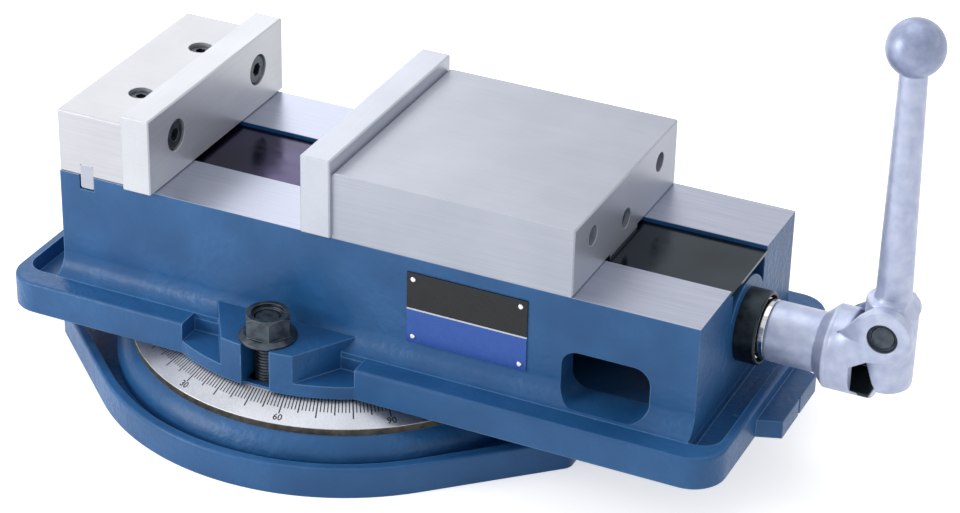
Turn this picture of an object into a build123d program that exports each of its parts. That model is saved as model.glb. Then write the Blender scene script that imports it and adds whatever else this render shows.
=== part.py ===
from build123d import *
import math
import os

# Angle lock machine vise on a swivel base, in millimetres.
# The origin is the swivel axis on the table, +X runs along the screw to the crank, +Z is up.

# Clearances
RUN_FIT = 0.05        # radial, between a pin or shaft and its bore
SLIDE_FIT = 0.3       # between faces that slide past each other
SCREW_FIT = 0.05      # radial, between a screw and its hole
HEAD_FIT = 0.8        # radial, between a screw head and its counterbore

# Swivel base
PLATE_THICK = 9.5
RIM_HEIGHT = 19.0
RIM_WIDTH = 6.0
MOAT_WIDTH = 8.3
LUG_LENGTH = 17.2
LUG_HALF = 55.0
LUG_CORNER_R = 8.0
LUG_SLOT_WIDTH = 18.0
LUG_SLOT_DEPTH = 27.0
HUB_FOOT_WIDTH = 9.1
HUB_FOOT_HEIGHT = 14.5
HUB_BULGE = 1.6
SCALE_WIDTH = 14.9
SCALE_UNDER_DISC = 3.5
SCALE_SEAT_HEIGHT = 26.5
SCALE_EDGE_THICK = 4.4
SCALE_TOP_DROP = 1.0
T_SLOT_MOUTH = 18.0
T_SLOT_WIDTH = 30.0
T_SLOT_LIP = 17.5
LOADING_HOLE_R = 14.5

# Pivot between the base and the vise
PIVOT_R = 20.0
PIVOT_FLOOR = 6.0
PIVOT_ENGAGE = 13.5
PIVOT_CHAMFER = 1.5

# Vise body
BODY_FRONT = 150.0
BODY_REAR = 252.0
BODY_HALF = 75.2
COVE_WIDTH = 9.8
COVE_TOP = 32.0
FLANGE_FRONT = 178.3
FLANGE_REAR = 273.4
FLANGE_SIDE = 14.8
FLANGE_THICK = 19.3
FLANGE_CORNER_R = 20.0
POCKET_RIM = 5.5
POCKET_SIDE_RIM = 15.8
POCKET_DEPTH = 9.3
POCKET_CORNER_R = 12.0
POCKET_DRAFT = 8.0
CLAMP_RIM = 16.5
NUT_TO_WALL = 5.8
LEDGE_THICK = 8.0
NOTCH_HALF = 56.0
BOSS_HEIGHT = 26.0
BOSS_BACK_HALF = 46.0
BOSS_FRONT_HALF = 23.0
CLAMP_SLOT_WIDTH = 18.2
TAIL_LENGTH = 14.1
TAIL_ROOT_HALF = 33.0
TAIL_TIP_HALF = 28.0
TAIL_THICK = 11.0
TAIL_NOTCH = 3.0
RAIL_THICK = 26.0
CHANNEL_HALF = 25.5
LEDGE_DEPTH = 4.5
LEDGE_WIDTH = 3.4
CHANNEL_START = 25.0
COVER_SEAT_LENGTH = 13.0
CAVITY_HALF = 58.0
FLOOR_THICK = 16.0
FRONT_WALL = 19.0
END_WALL = 17.0
WINDOW_START = 172.0
WINDOW_LENGTH = 53.0
WINDOW_SILL = 20.0
WINDOW_HEIGHT = 32.0
WINDOW_CORNER_R = 10.0
UNDERSIDE_RELIEF = 6.0
UNDERSIDE_RIM = 14.0
CAST_EDGE_R = 2.0

# Jaws and plates
JAW_PLATE_THICK = 18.6
JAW_OPENING = 96.5
FIXED_LENGTH = 45.5
FIXED_HEIGHT = 39.9
FIXED_PLATE_HALF = 80.0
FIXED_PLATE_HEIGHT = 48.0
MOVING_LENGTH = 147.7
MOVING_HEIGHT = 41.4
MOVING_PLATE_HALF = 78.1
MOVING_PLATE_HEIGHT = 49.1
MOVING_PLATE_LIFT = 0.4
MOVING_FRONT_R = 3.0
JAW_EDGE = 0.8
PLATE_SCREW_SPREAD = 49.0
PLATE_SCREW_HEIGHT = 26.0
PLATE_SCREW_R = 6.0
PLATE_HEAD_R = 9.0
PLATE_HEAD_HEIGHT = 12.0
PLATE_HEAD_SUNK = 1.0
PLATE_SCREW_GRIP = 24.0
BACK_HOLE_DEPTH = 25.0
KEY_WIDTH = 8.5
KEY_FROM_FRONT = 14.3
KEY_BELOW = 8.0
KEY_ABOVE = 7.0
KEY_SLOT_SLACK = 1.2
FIXED_SCREW_FROM_FRONT = 32.5
FIXED_SCREW_SPREAD = 35.0
FIXED_SCREW_R = 4.0
FIXED_HEAD_R = 6.5
FIXED_HEAD_HEIGHT = 8.0
FIXED_HEAD_SUNK = 2.0
FIXED_SCREW_GRIP = 20.0

# Nut, half ball and set screw inside the moving jaw
SCREW_DROP = 35.5
JAW_BACK_WALL = 7.9
POST_GAP = 3.0
POST_LENGTH = 32.0
POST_HALF = 24.0
POST_RISE = 30.5
JAW_POCKET_GAP = 3.0
NUT_LENGTH = 60.0
NUT_OVERHANG = 14.0
NUT_HALF = 22.0
NUT_BELOW = 22.0
KEEPER_HALF = 44.0
KEEPER_THICK = 22.0
HALF_BALL_R = 14.0
HALF_BALL_RISE = 16.5
SEAT_ANGLE = 45.0
SET_SCREW_R = 6.0
SET_SCREW_RISE = 13.0
SET_SCREW_SUNK = 3.0
SOCKET_R = 3.0

# Chip covers
COVER_THICK = 2.0
COVER_NECK_GAP = 1.6
REAR_COVER_LAP = 8.5
PAD_HALF = 20.0
COVER_SCREW_R = 2.0
COVER_HEAD_R = 3.6
COVER_HEAD_HEIGHT = 1.4
COVER_SCREW_SPREAD = 12.0
COVER_SCREW_LENGTH = 8.0

# Screw, thrust bearing and crank
SCREW_R = 14.0
SCREW_TIP_X = 18.0
SCREW_RELIEF = 1.0
JOURNAL_R = 13.0
SPINDLE_R = 12.0
SPINDLE_GRIP = 20.0
ARCH_R = 28.5
COLLAR_R = 21.5
COLLAR_BORE_R = 19.5
COLLAR_LENGTH = 12.6
RACE_R = 18.7
RACE_THICK = 4.0
RACE_INSET = 2.0
RACE_STAND = 6.0
TURNING_RACE_R = 17.5
BALL_R = 3.0
BALL_CIRCLE_R = 15.8
BALL_COUNT = 12
HUB_R = 17.5
HUB_LENGTH = 29.0
HEAD_CONE = 7.0
HEAD_R = 24.0
HEAD_LENGTH = 16.0
CHEEK_OUTER = 22.0
CHEEK_INNER = 16.0
CHEEK_BEVEL = 1.5
CHEEK_ROOT = 4.0
CHEEK_DROP = 1.0
PIN_FROM_HEAD = 17.0
PIN_RISE = 24.5
PIN_BOSS_R = 16.5
PIN_R = 7.0
PIN_SEAT_R = 9.0
PIN_SEAT_DEPTH = 1.2
HEEL_POCKET = 14.0
FOLD_STOP = 40.0
KNUCKLE_LEFT = 12.5
KNUCKLE_RIGHT = 18.5
KNUCKLE_TOP = 19.0
KNUCKLE_BOTTOM = 44.0
KNUCKLE_CHAMFER = 6.0
HEEL_ROUND_TOP = 16.0
HEEL_ROUND_END = 2.0
HEEL_ROUND_MID_X = 7.5
HEEL_ROUND_MID_Z = 31.0
ROD_OFFSET = 4.0
ROD_FOOT_R = 10.0
ROD_TOP_R = 7.5
ROD_RISE = 164.0
ROD_EMBED = 11.0
KNOB_R = 16.1
KNOB_FLAT = 14.0

# Clamp bolts that lock the swivel
CLAMP_R = 8.0
CLAMP_HEAD_HALF = 13.0
CLAMP_HEAD_HEIGHT = 12.0
CLAMP_HEAD_DROP = 2.2    # from the head down to the base plate
NUT_FLANGE_R = 17.0
NUT_FLANGE_THICK = 3.2
NUT_HEX_FLATS = 24.8
NUT_HEIGHT = 15.7
NUT_RECESS_R = 9.6
NUT_RECESS_DEPTH = 2.6

# Nameplate
NAMEPLATE_START = 77.0
NAMEPLATE_LENGTH = 74.0
NAMEPLATE_DROP = 9.0
NAMEPLATE_HEIGHT = 45.0
NAMEPLATE_THICK = 0.8
RIVET_INSET = 4.0
RIVET_R = 1.6
RIVET_HEAD = 0.9
RIVET_SHANK = 3.0

# Levels and stations that several pieces share
COVE_FOOT_HALF = BODY_HALF + COVE_WIDTH
FLANGE_HALF = COVE_FOOT_HALF + FLANGE_SIDE
T_SLOT_R = BODY_HALF + NUT_TO_WALL + NUT_FLANGE_R
DISC_R = T_SLOT_R + CLAMP_RIM
SCALE_BORE_R = DISC_R - SCALE_UNDER_DISC
SCALE_R = DISC_R + SCALE_WIDTH
HUB_FOOT_R = SCALE_R + HUB_FOOT_WIDTH
BASE_R = HUB_FOOT_R + MOAT_WIDTH + RIM_WIDTH
LUG_REACH = BASE_R + LUG_LENGTH
BASE_HEIGHT = PLATE_THICK + CLAMP_HEAD_DROP + CLAMP_HEAD_HEIGHT + SLIDE_FIT + T_SLOT_LIP
SCALE_RISE = BASE_HEIGHT - SCALE_TOP_DROP - SCALE_SEAT_HEIGHT - SCALE_EDGE_THICK
BODY_HEIGHT = COVE_TOP + NAMEPLATE_HEIGHT + NAMEPLATE_DROP
BED_Z = BASE_HEIGHT + BODY_HEIGHT
FLANGE_TOP = BASE_HEIGHT + FLANGE_THICK
BOSS_TOP = BASE_HEIGHT + BOSS_HEIGHT
SCREW_Z = BED_Z - SCREW_DROP
RAIL_BOTTOM = BED_Z - RAIL_THICK
LEDGE_Z = BED_Z - LEDGE_DEPTH
COVER_TOP = LEDGE_Z + COVER_THICK
LIP_BOTTOM = BASE_HEIGHT - T_SLOT_LIP
FIXED_FACE_X = -BODY_FRONT + FIXED_LENGTH + JAW_PLATE_THICK
MOVING_FACE_X = FIXED_FACE_X + JAW_OPENING
BLOCK_FRONT_X = MOVING_FACE_X + JAW_PLATE_THICK
BLOCK_REAR_X = BLOCK_FRONT_X + MOVING_LENGTH
POST_REAR_X = BLOCK_REAR_X - JAW_BACK_WALL - POST_GAP
POST_FRONT_X = POST_REAR_X - POST_LENGTH
HALF_BALL_Z = BED_Z + HALF_BALL_RISE
HALF_BALL_X = POST_FRONT_X - HALF_BALL_RISE / math.tan(math.radians(SEAT_ANGLE))
POST_TIP_X = POST_FRONT_X - POST_RISE / math.tan(math.radians(SEAT_ANGLE))
RACE_FACE_X = BODY_REAR + RACE_STAND
BALL_X = RACE_FACE_X + BALL_R + RUN_FIT
TURNING_RACE_X = BALL_X + BALL_R + RUN_FIT
HUB_X = TURNING_RACE_X + RACE_THICK
HEAD_X = HUB_X + HUB_LENGTH + HEAD_CONE
CHEEK_X = HEAD_X + HEAD_LENGTH
PIN_X = CHEEK_X + PIN_FROM_HEAD
PIN_Z = SCREW_Z + PIN_RISE


def along_x(x, y, z):
    """A plane at (x, y, z) that looks along +X."""
    return Plane(origin=(x, y, z), x_dir=(0, 1, 0), z_dir=(1, 0, 0))


def along_y(x, y, z):
    """A plane at (x, y, z) that looks along +Y, with +X to the left."""
    return Plane(origin=(x, y, z), x_dir=(-1, 0, 0), z_dir=(0, 1, 0))


def side_view(x, y, z):
    """A plane at (x, y, z) seen from the front: its own x runs along +X and its own y runs up."""
    return Plane(origin=(x, y, z), x_dir=(1, 0, 0), z_dir=(0, -1, 0))


def rod_x(radius, start, end, z=SCREW_Z):
    """A round bar along X."""
    return along_x(start, 0, z) * extrude(Circle(radius), end - start)


def block(x_from, x_to, half_width, z_from, z_to):
    """A box centred on the XZ plane."""
    size = (x_to - x_from, 2 * half_width, z_to - z_from)
    return Pos((x_from + x_to) / 2, 0, (z_from + z_to) / 2) * Box(*size)


def both_sides(shape):
    """The shape and its mirror image across the XZ plane."""
    return shape + mirror(shape, Plane.XZ)


def socket_screw(radius, length, head_radius, head_height):
    """A socket head screw along +Z, with the underside of its head at the origin."""
    key_r = head_radius * 0.5
    head = extrude(Circle(head_radius) - RegularPolygon(key_r, 6), head_height)
    head += extrude(Circle(head_radius), head_height * 0.4)
    edge = head.edges().filter_by(GeomType.CIRCLE).group_by(Axis.Z)[-1]
    head = chamfer(edge, head_height * 0.06)
    return head + Pos(0, 0, -length) * extrude(Circle(radius), length)


def swivel_base():
    lugs = [Pos(side * (LUG_REACH - LUG_CORNER_R), y_side * (LUG_HALF - LUG_CORNER_R)) * Circle(LUG_CORNER_R)
            for side in (-1, 1) for y_side in (-1, 1)]
    outline = make_hull((Circle(BASE_R) + lugs).edges())
    inner = offset(outline, -RIM_WIDTH)
    base = extrude(outline, RIM_HEIGHT)
    base = fillet(base.edges().group_by(Axis.Z)[-1], CAST_EDGE_R)
    base -= Pos(0, 0, PLATE_THICK) * extrude(inner, RIM_HEIGHT)
    base -= Pos(0, 0, PIVOT_FLOOR) * extrude(Circle(PIVOT_R + SCREW_FIT), PLATE_THICK)
    slot_r = LUG_SLOT_WIDTH / 2
    slot_end = LUG_REACH - LUG_SLOT_DEPTH + slot_r
    slot = Pos(slot_end, 0) * Circle(slot_r)
    slot += Pos(slot_end + LUG_SLOT_DEPTH / 2, 0) * Rectangle(LUG_SLOT_DEPTH, LUG_SLOT_WIDTH)
    for side in (0, 180):
        base -= Rot(0, 0, side) * extrude(slot, RIM_HEIGHT)
    return base


def swivel_hub():
    """The raised middle of the base: a core and a ring, with the round T-slot between them."""
    shoulder = Polyline((HUB_FOOT_R, HUB_FOOT_HEIGHT), (HUB_FOOT_R, PLATE_THICK), (0, PLATE_THICK),
                        (0, BASE_HEIGHT), (SCALE_BORE_R, BASE_HEIGHT),
                        (SCALE_BORE_R, SCALE_SEAT_HEIGHT + SCALE_RISE), (SCALE_R, SCALE_SEAT_HEIGHT))
    bulge = SagittaArc((SCALE_R, SCALE_SEAT_HEIGHT), (HUB_FOOT_R, HUB_FOOT_HEIGHT), HUB_BULGE)
    hub = revolve(Plane.XZ * make_face(shoulder + bulge), Axis.Z)
    mouth = Circle(T_SLOT_R + T_SLOT_MOUTH / 2) - Circle(T_SLOT_R - T_SLOT_MOUTH / 2)
    undercut = Circle(T_SLOT_R + T_SLOT_WIDTH / 2) - Circle(T_SLOT_R - T_SLOT_WIDTH / 2)
    hub -= Pos(0, 0, PLATE_THICK) * extrude(mouth, BASE_HEIGHT)
    hub -= Pos(0, 0, PLATE_THICK) * extrude(undercut, LIP_BOTTOM - PLATE_THICK)
    hub -= Pos(T_SLOT_R, 0, PLATE_THICK) * extrude(Circle(LOADING_HOLE_R), BASE_HEIGHT)
    return hub - Pos(0, 0, PLATE_THICK) * extrude(Circle(PIVOT_R + SCREW_FIT), BASE_HEIGHT)


def scale_ring():
    profile = Polyline((SCALE_BORE_R, SCALE_SEAT_HEIGHT + SCALE_RISE), (SCALE_R, SCALE_SEAT_HEIGHT),
                       (SCALE_R, SCALE_SEAT_HEIGHT + SCALE_EDGE_THICK),
                       (SCALE_BORE_R, BASE_HEIGHT - SCALE_TOP_DROP), close=True)
    return revolve(Plane.XZ * make_face(profile), Axis.Z)


def swivel_pivot():
    top = BASE_HEIGHT + PIVOT_ENGAGE
    pin = Pos(0, 0, PIVOT_FLOOR) * extrude(Circle(PIVOT_R), top - PIVOT_FLOOR)
    return chamfer(pin.edges().group_by(Axis.Z)[-1], PIVOT_CHAMFER)


def body_section():
    """The casting's cross-section: ground bed, upright walls and a cove down to the flange."""
    wall = Polyline((0, BASE_HEIGHT), (0, BED_Z), (BODY_HALF, BED_Z), (BODY_HALF, BASE_HEIGHT + COVE_TOP))
    cove = TangentArc((BODY_HALF, BASE_HEIGHT + COVE_TOP), (COVE_FOOT_HALF, FLANGE_TOP), tangent=(0, -1))
    foot = Polyline((COVE_FOOT_HALF, FLANGE_TOP), (COVE_FOOT_HALF, BASE_HEIGHT), (0, BASE_HEIGHT))
    half = make_face(wall + cove + foot)
    return half + mirror(half, Plane.YZ)


def flange():
    length = FLANGE_FRONT + FLANGE_REAR
    centre_x = (FLANGE_REAR - FLANGE_FRONT) / 2
    sheet = RectangleRounded(length, 2 * FLANGE_HALF, FLANGE_CORNER_R)
    plate = Pos(centre_x, 0, BASE_HEIGHT) * extrude(sheet, FLANGE_THICK)
    plate = fillet(plate.edges().group_by(Axis.Z)[-1], CAST_EDGE_R)
    pocket_half = FLANGE_HALF - POCKET_SIDE_RIM
    for inner, outer in ((-BODY_FRONT + FRONT_WALL, -FLANGE_FRONT + POCKET_RIM),
                         (BODY_REAR - END_WALL, FLANGE_REAR - POCKET_RIM)):
        mouth = RectangleRounded(abs(outer - inner), 2 * pocket_half, POCKET_CORNER_R)
        cut = extrude(mouth, -POCKET_DEPTH, taper=POCKET_DRAFT)
        plate -= Pos((inner + outer) / 2, 0, FLANGE_TOP) * cut
    tail = Polyline((FLANGE_REAR - TAIL_LENGTH, TAIL_ROOT_HALF), (FLANGE_REAR, TAIL_ROOT_HALF),
                    (FLANGE_REAR + TAIL_LENGTH, TAIL_TIP_HALF), (FLANGE_REAR + TAIL_LENGTH, TAIL_NOTCH / 2),
                    (FLANGE_REAR + TAIL_LENGTH - TAIL_NOTCH, 0), (FLANGE_REAR - TAIL_LENGTH, 0), close=True)
    tail = make_face(tail)
    tail += mirror(tail, Plane.XZ)
    return plate + Pos(0, 0, BASE_HEIGHT) * extrude(tail, TAIL_THICK)


def clamp_boss():
    """The slotted boss over the swivel disc that one clamp bolt bears on, on the front side."""
    front_y = -(DISC_R**2 - BOSS_FRONT_HALF**2) ** 0.5
    plan = Polyline((-BOSS_BACK_HALF, -BODY_HALF), (-BOSS_FRONT_HALF, front_y), (-BOSS_FRONT_HALF, -DISC_R),
                    (BOSS_FRONT_HALF, -DISC_R), (BOSS_FRONT_HALF, front_y), (BOSS_BACK_HALF, -BODY_HALF),
                    (BOSS_BACK_HALF, -CAVITY_HALF), (-BOSS_BACK_HALF, -CAVITY_HALF), close=True)
    plan = make_face(plan) & Circle(DISC_R)
    return Pos(0, 0, BASE_HEIGHT) * extrude(plan, BOSS_HEIGHT)


def clamp_slot():
    """The open U slot through the front boss for the clamp bolt."""
    reach = DISC_R - T_SLOT_R + CLAMP_SLOT_WIDTH
    plan = Pos(0, -T_SLOT_R) * Circle(CLAMP_SLOT_WIDTH / 2)
    plan += Pos(0, -T_SLOT_R - reach / 2) * Rectangle(CLAMP_SLOT_WIDTH, reach)
    return Pos(0, 0, BASE_HEIGHT) * extrude(plan, BOSS_HEIGHT)


def side_window():
    """The chip window through both side walls."""
    centre = (WINDOW_START + WINDOW_LENGTH / 2, FLANGE_HALF, BASE_HEIGHT + WINDOW_SILL + WINDOW_HEIGHT / 2)
    hole = RectangleRounded(WINDOW_LENGTH, WINDOW_HEIGHT, WINDOW_CORNER_R)
    return along_y(*centre) * extrude(hole, -2 * FLANGE_HALF)


def vise_casting():
    """The whole casting of the vise body, which the next two functions part at the cavity's floor."""
    body = Plane.YZ.offset(-BODY_FRONT) * extrude(body_section(), BODY_FRONT + BODY_REAR)
    plate = flange()
    notch_y = -(COVE_FOOT_HALF + DISC_R) / 2
    notch = Pos(0, notch_y) * Rectangle(2 * NOTCH_HALF, DISC_R - COVE_FOOT_HALF)
    plate -= both_sides(Pos(0, 0, BASE_HEIGHT) * extrude(notch, FLANGE_THICK))
    body += plate
    body += Pos(0, 0, BASE_HEIGHT) * extrude(Circle(DISC_R), LEDGE_THICK)
    body += both_sides(clamp_boss())
    cavity_top = RAIL_BOTTOM
    cavity_floor = BASE_HEIGHT + FLOOR_THICK
    cavity_rear = BODY_REAR - END_WALL
    body -= block(-BODY_FRONT + FRONT_WALL, cavity_rear, CAVITY_HALF, cavity_floor, cavity_top)
    channel_x = -BODY_FRONT + CHANNEL_START
    body -= block(channel_x + COVER_SEAT_LENGTH, BODY_REAR, CHANNEL_HALF, cavity_top, BED_Z)
    body -= block(channel_x, BODY_REAR, CHANNEL_HALF + LEDGE_WIDTH, LEDGE_Z, BED_Z)
    body += rod_x(ARCH_R, cavity_rear, BODY_REAR)
    body -= rod_x(JOURNAL_R + RUN_FIT, cavity_rear, BODY_REAR)
    body -= rod_x(RACE_R + SCREW_FIT, BODY_REAR - RACE_INSET, BODY_REAR)
    body -= side_window()
    body -= both_sides(clamp_slot())
    body -= Pos(0, 0, BASE_HEIGHT) * extrude(Circle(PIVOT_R + RUN_FIT), FLOOR_THICK)
    key_x = -BODY_FRONT + KEY_FROM_FRONT
    body -= block(key_x - KEY_SLOT_SLACK, key_x + KEY_WIDTH, BODY_HALF,
                  BED_Z - KEY_BELOW - KEY_SLOT_SLACK, BED_Z)
    relief_half = FLANGE_HALF - UNDERSIDE_RIM
    relief = block(-FLANGE_FRONT + UNDERSIDE_RIM, FLANGE_REAR - UNDERSIDE_RIM, relief_half,
                   BASE_HEIGHT, BASE_HEIGHT + UNDERSIDE_RELIEF)
    body -= relief - Pos(0, 0, BASE_HEIGHT) * extrude(Circle(DISC_R), UNDERSIDE_RELIEF)
    for y in (-FIXED_SCREW_SPREAD, FIXED_SCREW_SPREAD):
        hole = extrude(Circle(FIXED_SCREW_R + SCREW_FIT), -FIXED_SCREW_GRIP - HEAD_FIT)
        body -= Pos(-BODY_FRONT + FIXED_SCREW_FROM_FRONT, y, BED_Z) * hole
    for y in (-COVER_SCREW_SPREAD, COVER_SCREW_SPREAD):
        hole = extrude(Circle(COVER_SCREW_R + SCREW_FIT), -COVER_SCREW_LENGTH)
        body -= Pos(channel_x + COVER_SEAT_LENGTH / 2, y, LEDGE_Z) * hole
    for x, z in rivet_places():
        body -= along_y(x, -BODY_HALF, z) * extrude(Circle(RIVET_R / 2 + SCREW_FIT), RIVET_SHANK)
    return body


def wall_space():
    """Where the walls and rails stand: above the cavity's floor, between the coves, clear of the bosses."""
    space = block(-BODY_FRONT, BODY_REAR, COVE_FOOT_HALF, BASE_HEIGHT + FLOOR_THICK, BED_Z)
    return space - both_sides(clamp_boss())


def vise_body():
    return vise_casting() & wall_space()


def vise_flange():
    return vise_casting() - wall_space()


def jaw_key():
    key_x = -BODY_FRONT + KEY_FROM_FRONT
    key = block(key_x, key_x + KEY_WIDTH, BODY_HALF, BED_Z - KEY_BELOW, BED_Z + KEY_ABOVE)
    return chamfer(key.edges().filter_by(Axis.Y), JAW_EDGE)


def back_holes(x, direction):
    """Two tapped holes in a jaw's outer face, for a plate on the outside."""
    holes = Part()
    for y in (-PLATE_SCREW_SPREAD, PLATE_SCREW_SPREAD):
        face = Plane(origin=(x, y, BED_Z + PLATE_SCREW_HEIGHT), x_dir=(0, 1, 0), z_dir=(-direction, 0, 0))
        holes += face * extrude(Circle(PLATE_SCREW_R), BACK_HOLE_DEPTH)
    return holes


def plate_screw_bores(face_x, direction):
    """Counterbores and clearance holes of one plate, and the tapped holes behind it."""
    bores = Part()
    head_depth = PLATE_HEAD_HEIGHT + PLATE_HEAD_SUNK
    for y in (-PLATE_SCREW_SPREAD, PLATE_SCREW_SPREAD):
        face = Plane(origin=(face_x, y, BED_Z + PLATE_SCREW_HEIGHT), x_dir=(0, 1, 0),
                     z_dir=(-direction, 0, 0))
        bores += face * extrude(Circle(PLATE_HEAD_R + HEAD_FIT), head_depth)
        bores += face * extrude(Circle(PLATE_SCREW_R + SCREW_FIT), head_depth + PLATE_SCREW_GRIP + HEAD_FIT)
    return bores


def fixed_jaw():
    jaw = block(-BODY_FRONT, -BODY_FRONT + FIXED_LENGTH, BODY_HALF, BED_Z, BED_Z + FIXED_HEIGHT)
    jaw = chamfer(jaw.edges(), JAW_EDGE)
    key_x = -BODY_FRONT + KEY_FROM_FRONT
    jaw -= block(key_x, key_x + KEY_WIDTH, BODY_HALF, BED_Z, BED_Z + KEY_ABOVE)
    for y in (-FIXED_SCREW_SPREAD, FIXED_SCREW_SPREAD):
        place = Pos(-BODY_FRONT + FIXED_SCREW_FROM_FRONT, y, BED_Z + FIXED_HEIGHT)
        jaw -= place * extrude(Circle(FIXED_HEAD_R + HEAD_FIT), -FIXED_HEAD_HEIGHT - FIXED_HEAD_SUNK)
        jaw -= place * extrude(Circle(FIXED_SCREW_R + SCREW_FIT), -FIXED_HEIGHT)
    jaw -= plate_screw_bores(FIXED_FACE_X, 1)
    return jaw - back_holes(-BODY_FRONT, -1)


def fixed_jaw_screws():
    seat_z = BED_Z + FIXED_HEIGHT - FIXED_HEAD_HEIGHT - FIXED_HEAD_SUNK
    length = seat_z - BED_Z + FIXED_SCREW_GRIP
    screw = socket_screw(FIXED_SCREW_R, length, FIXED_HEAD_R, FIXED_HEAD_HEIGHT)
    screws = [Pos(-BODY_FRONT + FIXED_SCREW_FROM_FRONT, y, seat_z) * screw
              for y in (-FIXED_SCREW_SPREAD, FIXED_SCREW_SPREAD)]
    return Compound(children=screws)


def fixed_jaw_plate():
    plate = block(FIXED_FACE_X - JAW_PLATE_THICK, FIXED_FACE_X, FIXED_PLATE_HALF,
                  BED_Z, BED_Z + FIXED_PLATE_HEIGHT)
    return chamfer(plate.edges(), JAW_EDGE) - plate_screw_bores(FIXED_FACE_X, 1)


def plate_screws(face_x, direction):
    """The two socket screws of a jaw plate, with their heads below its working face."""
    seat_x = face_x - direction * (PLATE_HEAD_HEIGHT + PLATE_HEAD_SUNK)
    screw = socket_screw(PLATE_SCREW_R, PLATE_SCREW_GRIP, PLATE_HEAD_R, PLATE_HEAD_HEIGHT)
    screws = []
    for y in (-PLATE_SCREW_SPREAD, PLATE_SCREW_SPREAD):
        place = Plane(origin=(seat_x, y, BED_Z + PLATE_SCREW_HEIGHT), x_dir=(0, 1, 0),
                      z_dir=(direction, 0, 0))
        screws.append(place * screw)
    return Compound(children=screws)


def moving_plate():
    plate = block(MOVING_FACE_X, BLOCK_FRONT_X, MOVING_PLATE_HALF,
                  BED_Z + MOVING_PLATE_LIFT, BED_Z + MOVING_PLATE_LIFT + MOVING_PLATE_HEIGHT)
    return chamfer(plate.edges(), JAW_EDGE) - plate_screw_bores(MOVING_FACE_X, -1)


def seat_face():
    """The nut's slanted front face through the half ball's centre, facing the ball."""
    slant = math.radians(SEAT_ANGLE)
    facing = (-math.sin(slant), 0, -math.cos(slant))
    return Plane(origin=(HALF_BALL_X, 0, HALF_BALL_Z), x_dir=(0, 1, 0), z_dir=facing)


def movable_jaw():
    jaw = block(BLOCK_FRONT_X, BLOCK_REAR_X, BODY_HALF, BED_Z, BED_Z + MOVING_HEIGHT)
    top_front = jaw.edges().filter_by(Axis.Y).group_by(Axis.X)[0].sort_by(Axis.Z)[-1]
    jaw = fillet(top_front, MOVING_FRONT_R)
    jaw = chamfer(jaw.edges().group_by(Axis.X)[-1], JAW_EDGE)
    pocket_front = POST_TIP_X - JAW_POCKET_GAP
    pocket_rear = BLOCK_REAR_X - JAW_BACK_WALL
    jaw -= block(pocket_front, pocket_rear, POST_HALF + SLIDE_FIT, BED_Z, BED_Z + POST_RISE + JAW_POCKET_GAP)
    seat = block(pocket_front, POST_FRONT_X, POST_HALF + SLIDE_FIT, BED_Z, BED_Z + POST_RISE)
    jaw += split(seat, bisect_by=seat_face().offset(JAW_POCKET_GAP), keep=Keep.TOP)
    jaw -= Pos(HALF_BALL_X, 0, HALF_BALL_Z) * Sphere(HALF_BALL_R + RUN_FIT)
    jaw -= rod_x(SET_SCREW_R + SCREW_FIT, pocket_rear, BLOCK_REAR_X, z=BED_Z + SET_SCREW_RISE)
    jaw += block(pocket_rear, BLOCK_REAR_X - JAW_EDGE, PAD_HALF, COVER_TOP, BED_Z)
    jaw -= plate_screw_bores(MOVING_FACE_X, -1)
    for y in (-COVER_SCREW_SPREAD, COVER_SCREW_SPREAD):
        hole = extrude(Circle(COVER_SCREW_R + SCREW_FIT), COVER_SCREW_LENGTH)
        jaw -= Pos(pocket_rear + JAW_BACK_WALL / 2, y, COVER_TOP) * hole
    return jaw - back_holes(BLOCK_REAR_X, 1)


def half_ball():
    ball = Pos(HALF_BALL_X, 0, HALF_BALL_Z) * Sphere(HALF_BALL_R)
    return split(ball, bisect_by=seat_face(), keep=Keep.TOP)


def screw_nut():
    post_top = BED_Z + POST_RISE
    neck_bottom = SCREW_Z - NUT_BELOW
    profile = Polyline((POST_FRONT_X, neck_bottom), (POST_FRONT_X, BED_Z), (POST_TIP_X, post_top),
                       (POST_REAR_X, post_top), (POST_REAR_X, neck_bottom), close=True)
    nut = side_view(0, POST_HALF, 0) * extrude(make_face(profile), 2 * POST_HALF)
    nut_rear = POST_REAR_X + NUT_OVERHANG
    keeper_top = RAIL_BOTTOM - SLIDE_FIT
    nut += block(nut_rear - NUT_LENGTH, nut_rear, NUT_HALF, neck_bottom, keeper_top)
    nut += block(nut_rear - NUT_LENGTH, nut_rear, KEEPER_HALF, keeper_top - KEEPER_THICK, keeper_top)
    return nut - rod_x(SCREW_R + RUN_FIT, nut_rear - NUT_LENGTH, nut_rear)


def nut_set_screw():
    tip = rod_x(SET_SCREW_R, POST_REAR_X, BLOCK_REAR_X - SET_SCREW_SUNK, z=BED_Z + SET_SCREW_RISE)
    key = along_x(BLOCK_REAR_X - SET_SCREW_SUNK, 0, BED_Z + SET_SCREW_RISE)
    return tip - key * extrude(RegularPolygon(SOCKET_R, 6), -JAW_BACK_WALL / 2)


def cover_screw_places():
    """Where the screws of the front cover and of the rear cover stand, along X."""
    front = -BODY_FRONT + CHANNEL_START + COVER_SEAT_LENGTH / 2
    return front, BLOCK_REAR_X - JAW_BACK_WALL / 2


def chip_cover(start, end, screw_x):
    """A sheet that rests on the ledges of the channel, with two screw holes."""
    sheet = block(start, end, CHANNEL_HALF + LEDGE_WIDTH - SLIDE_FIT, LEDGE_Z, COVER_TOP)
    for y in (-COVER_SCREW_SPREAD, COVER_SCREW_SPREAD):
        sheet -= Pos(screw_x, y, LEDGE_Z) * extrude(Circle(COVER_SCREW_R + SCREW_FIT), COVER_THICK)
    return sheet


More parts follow.
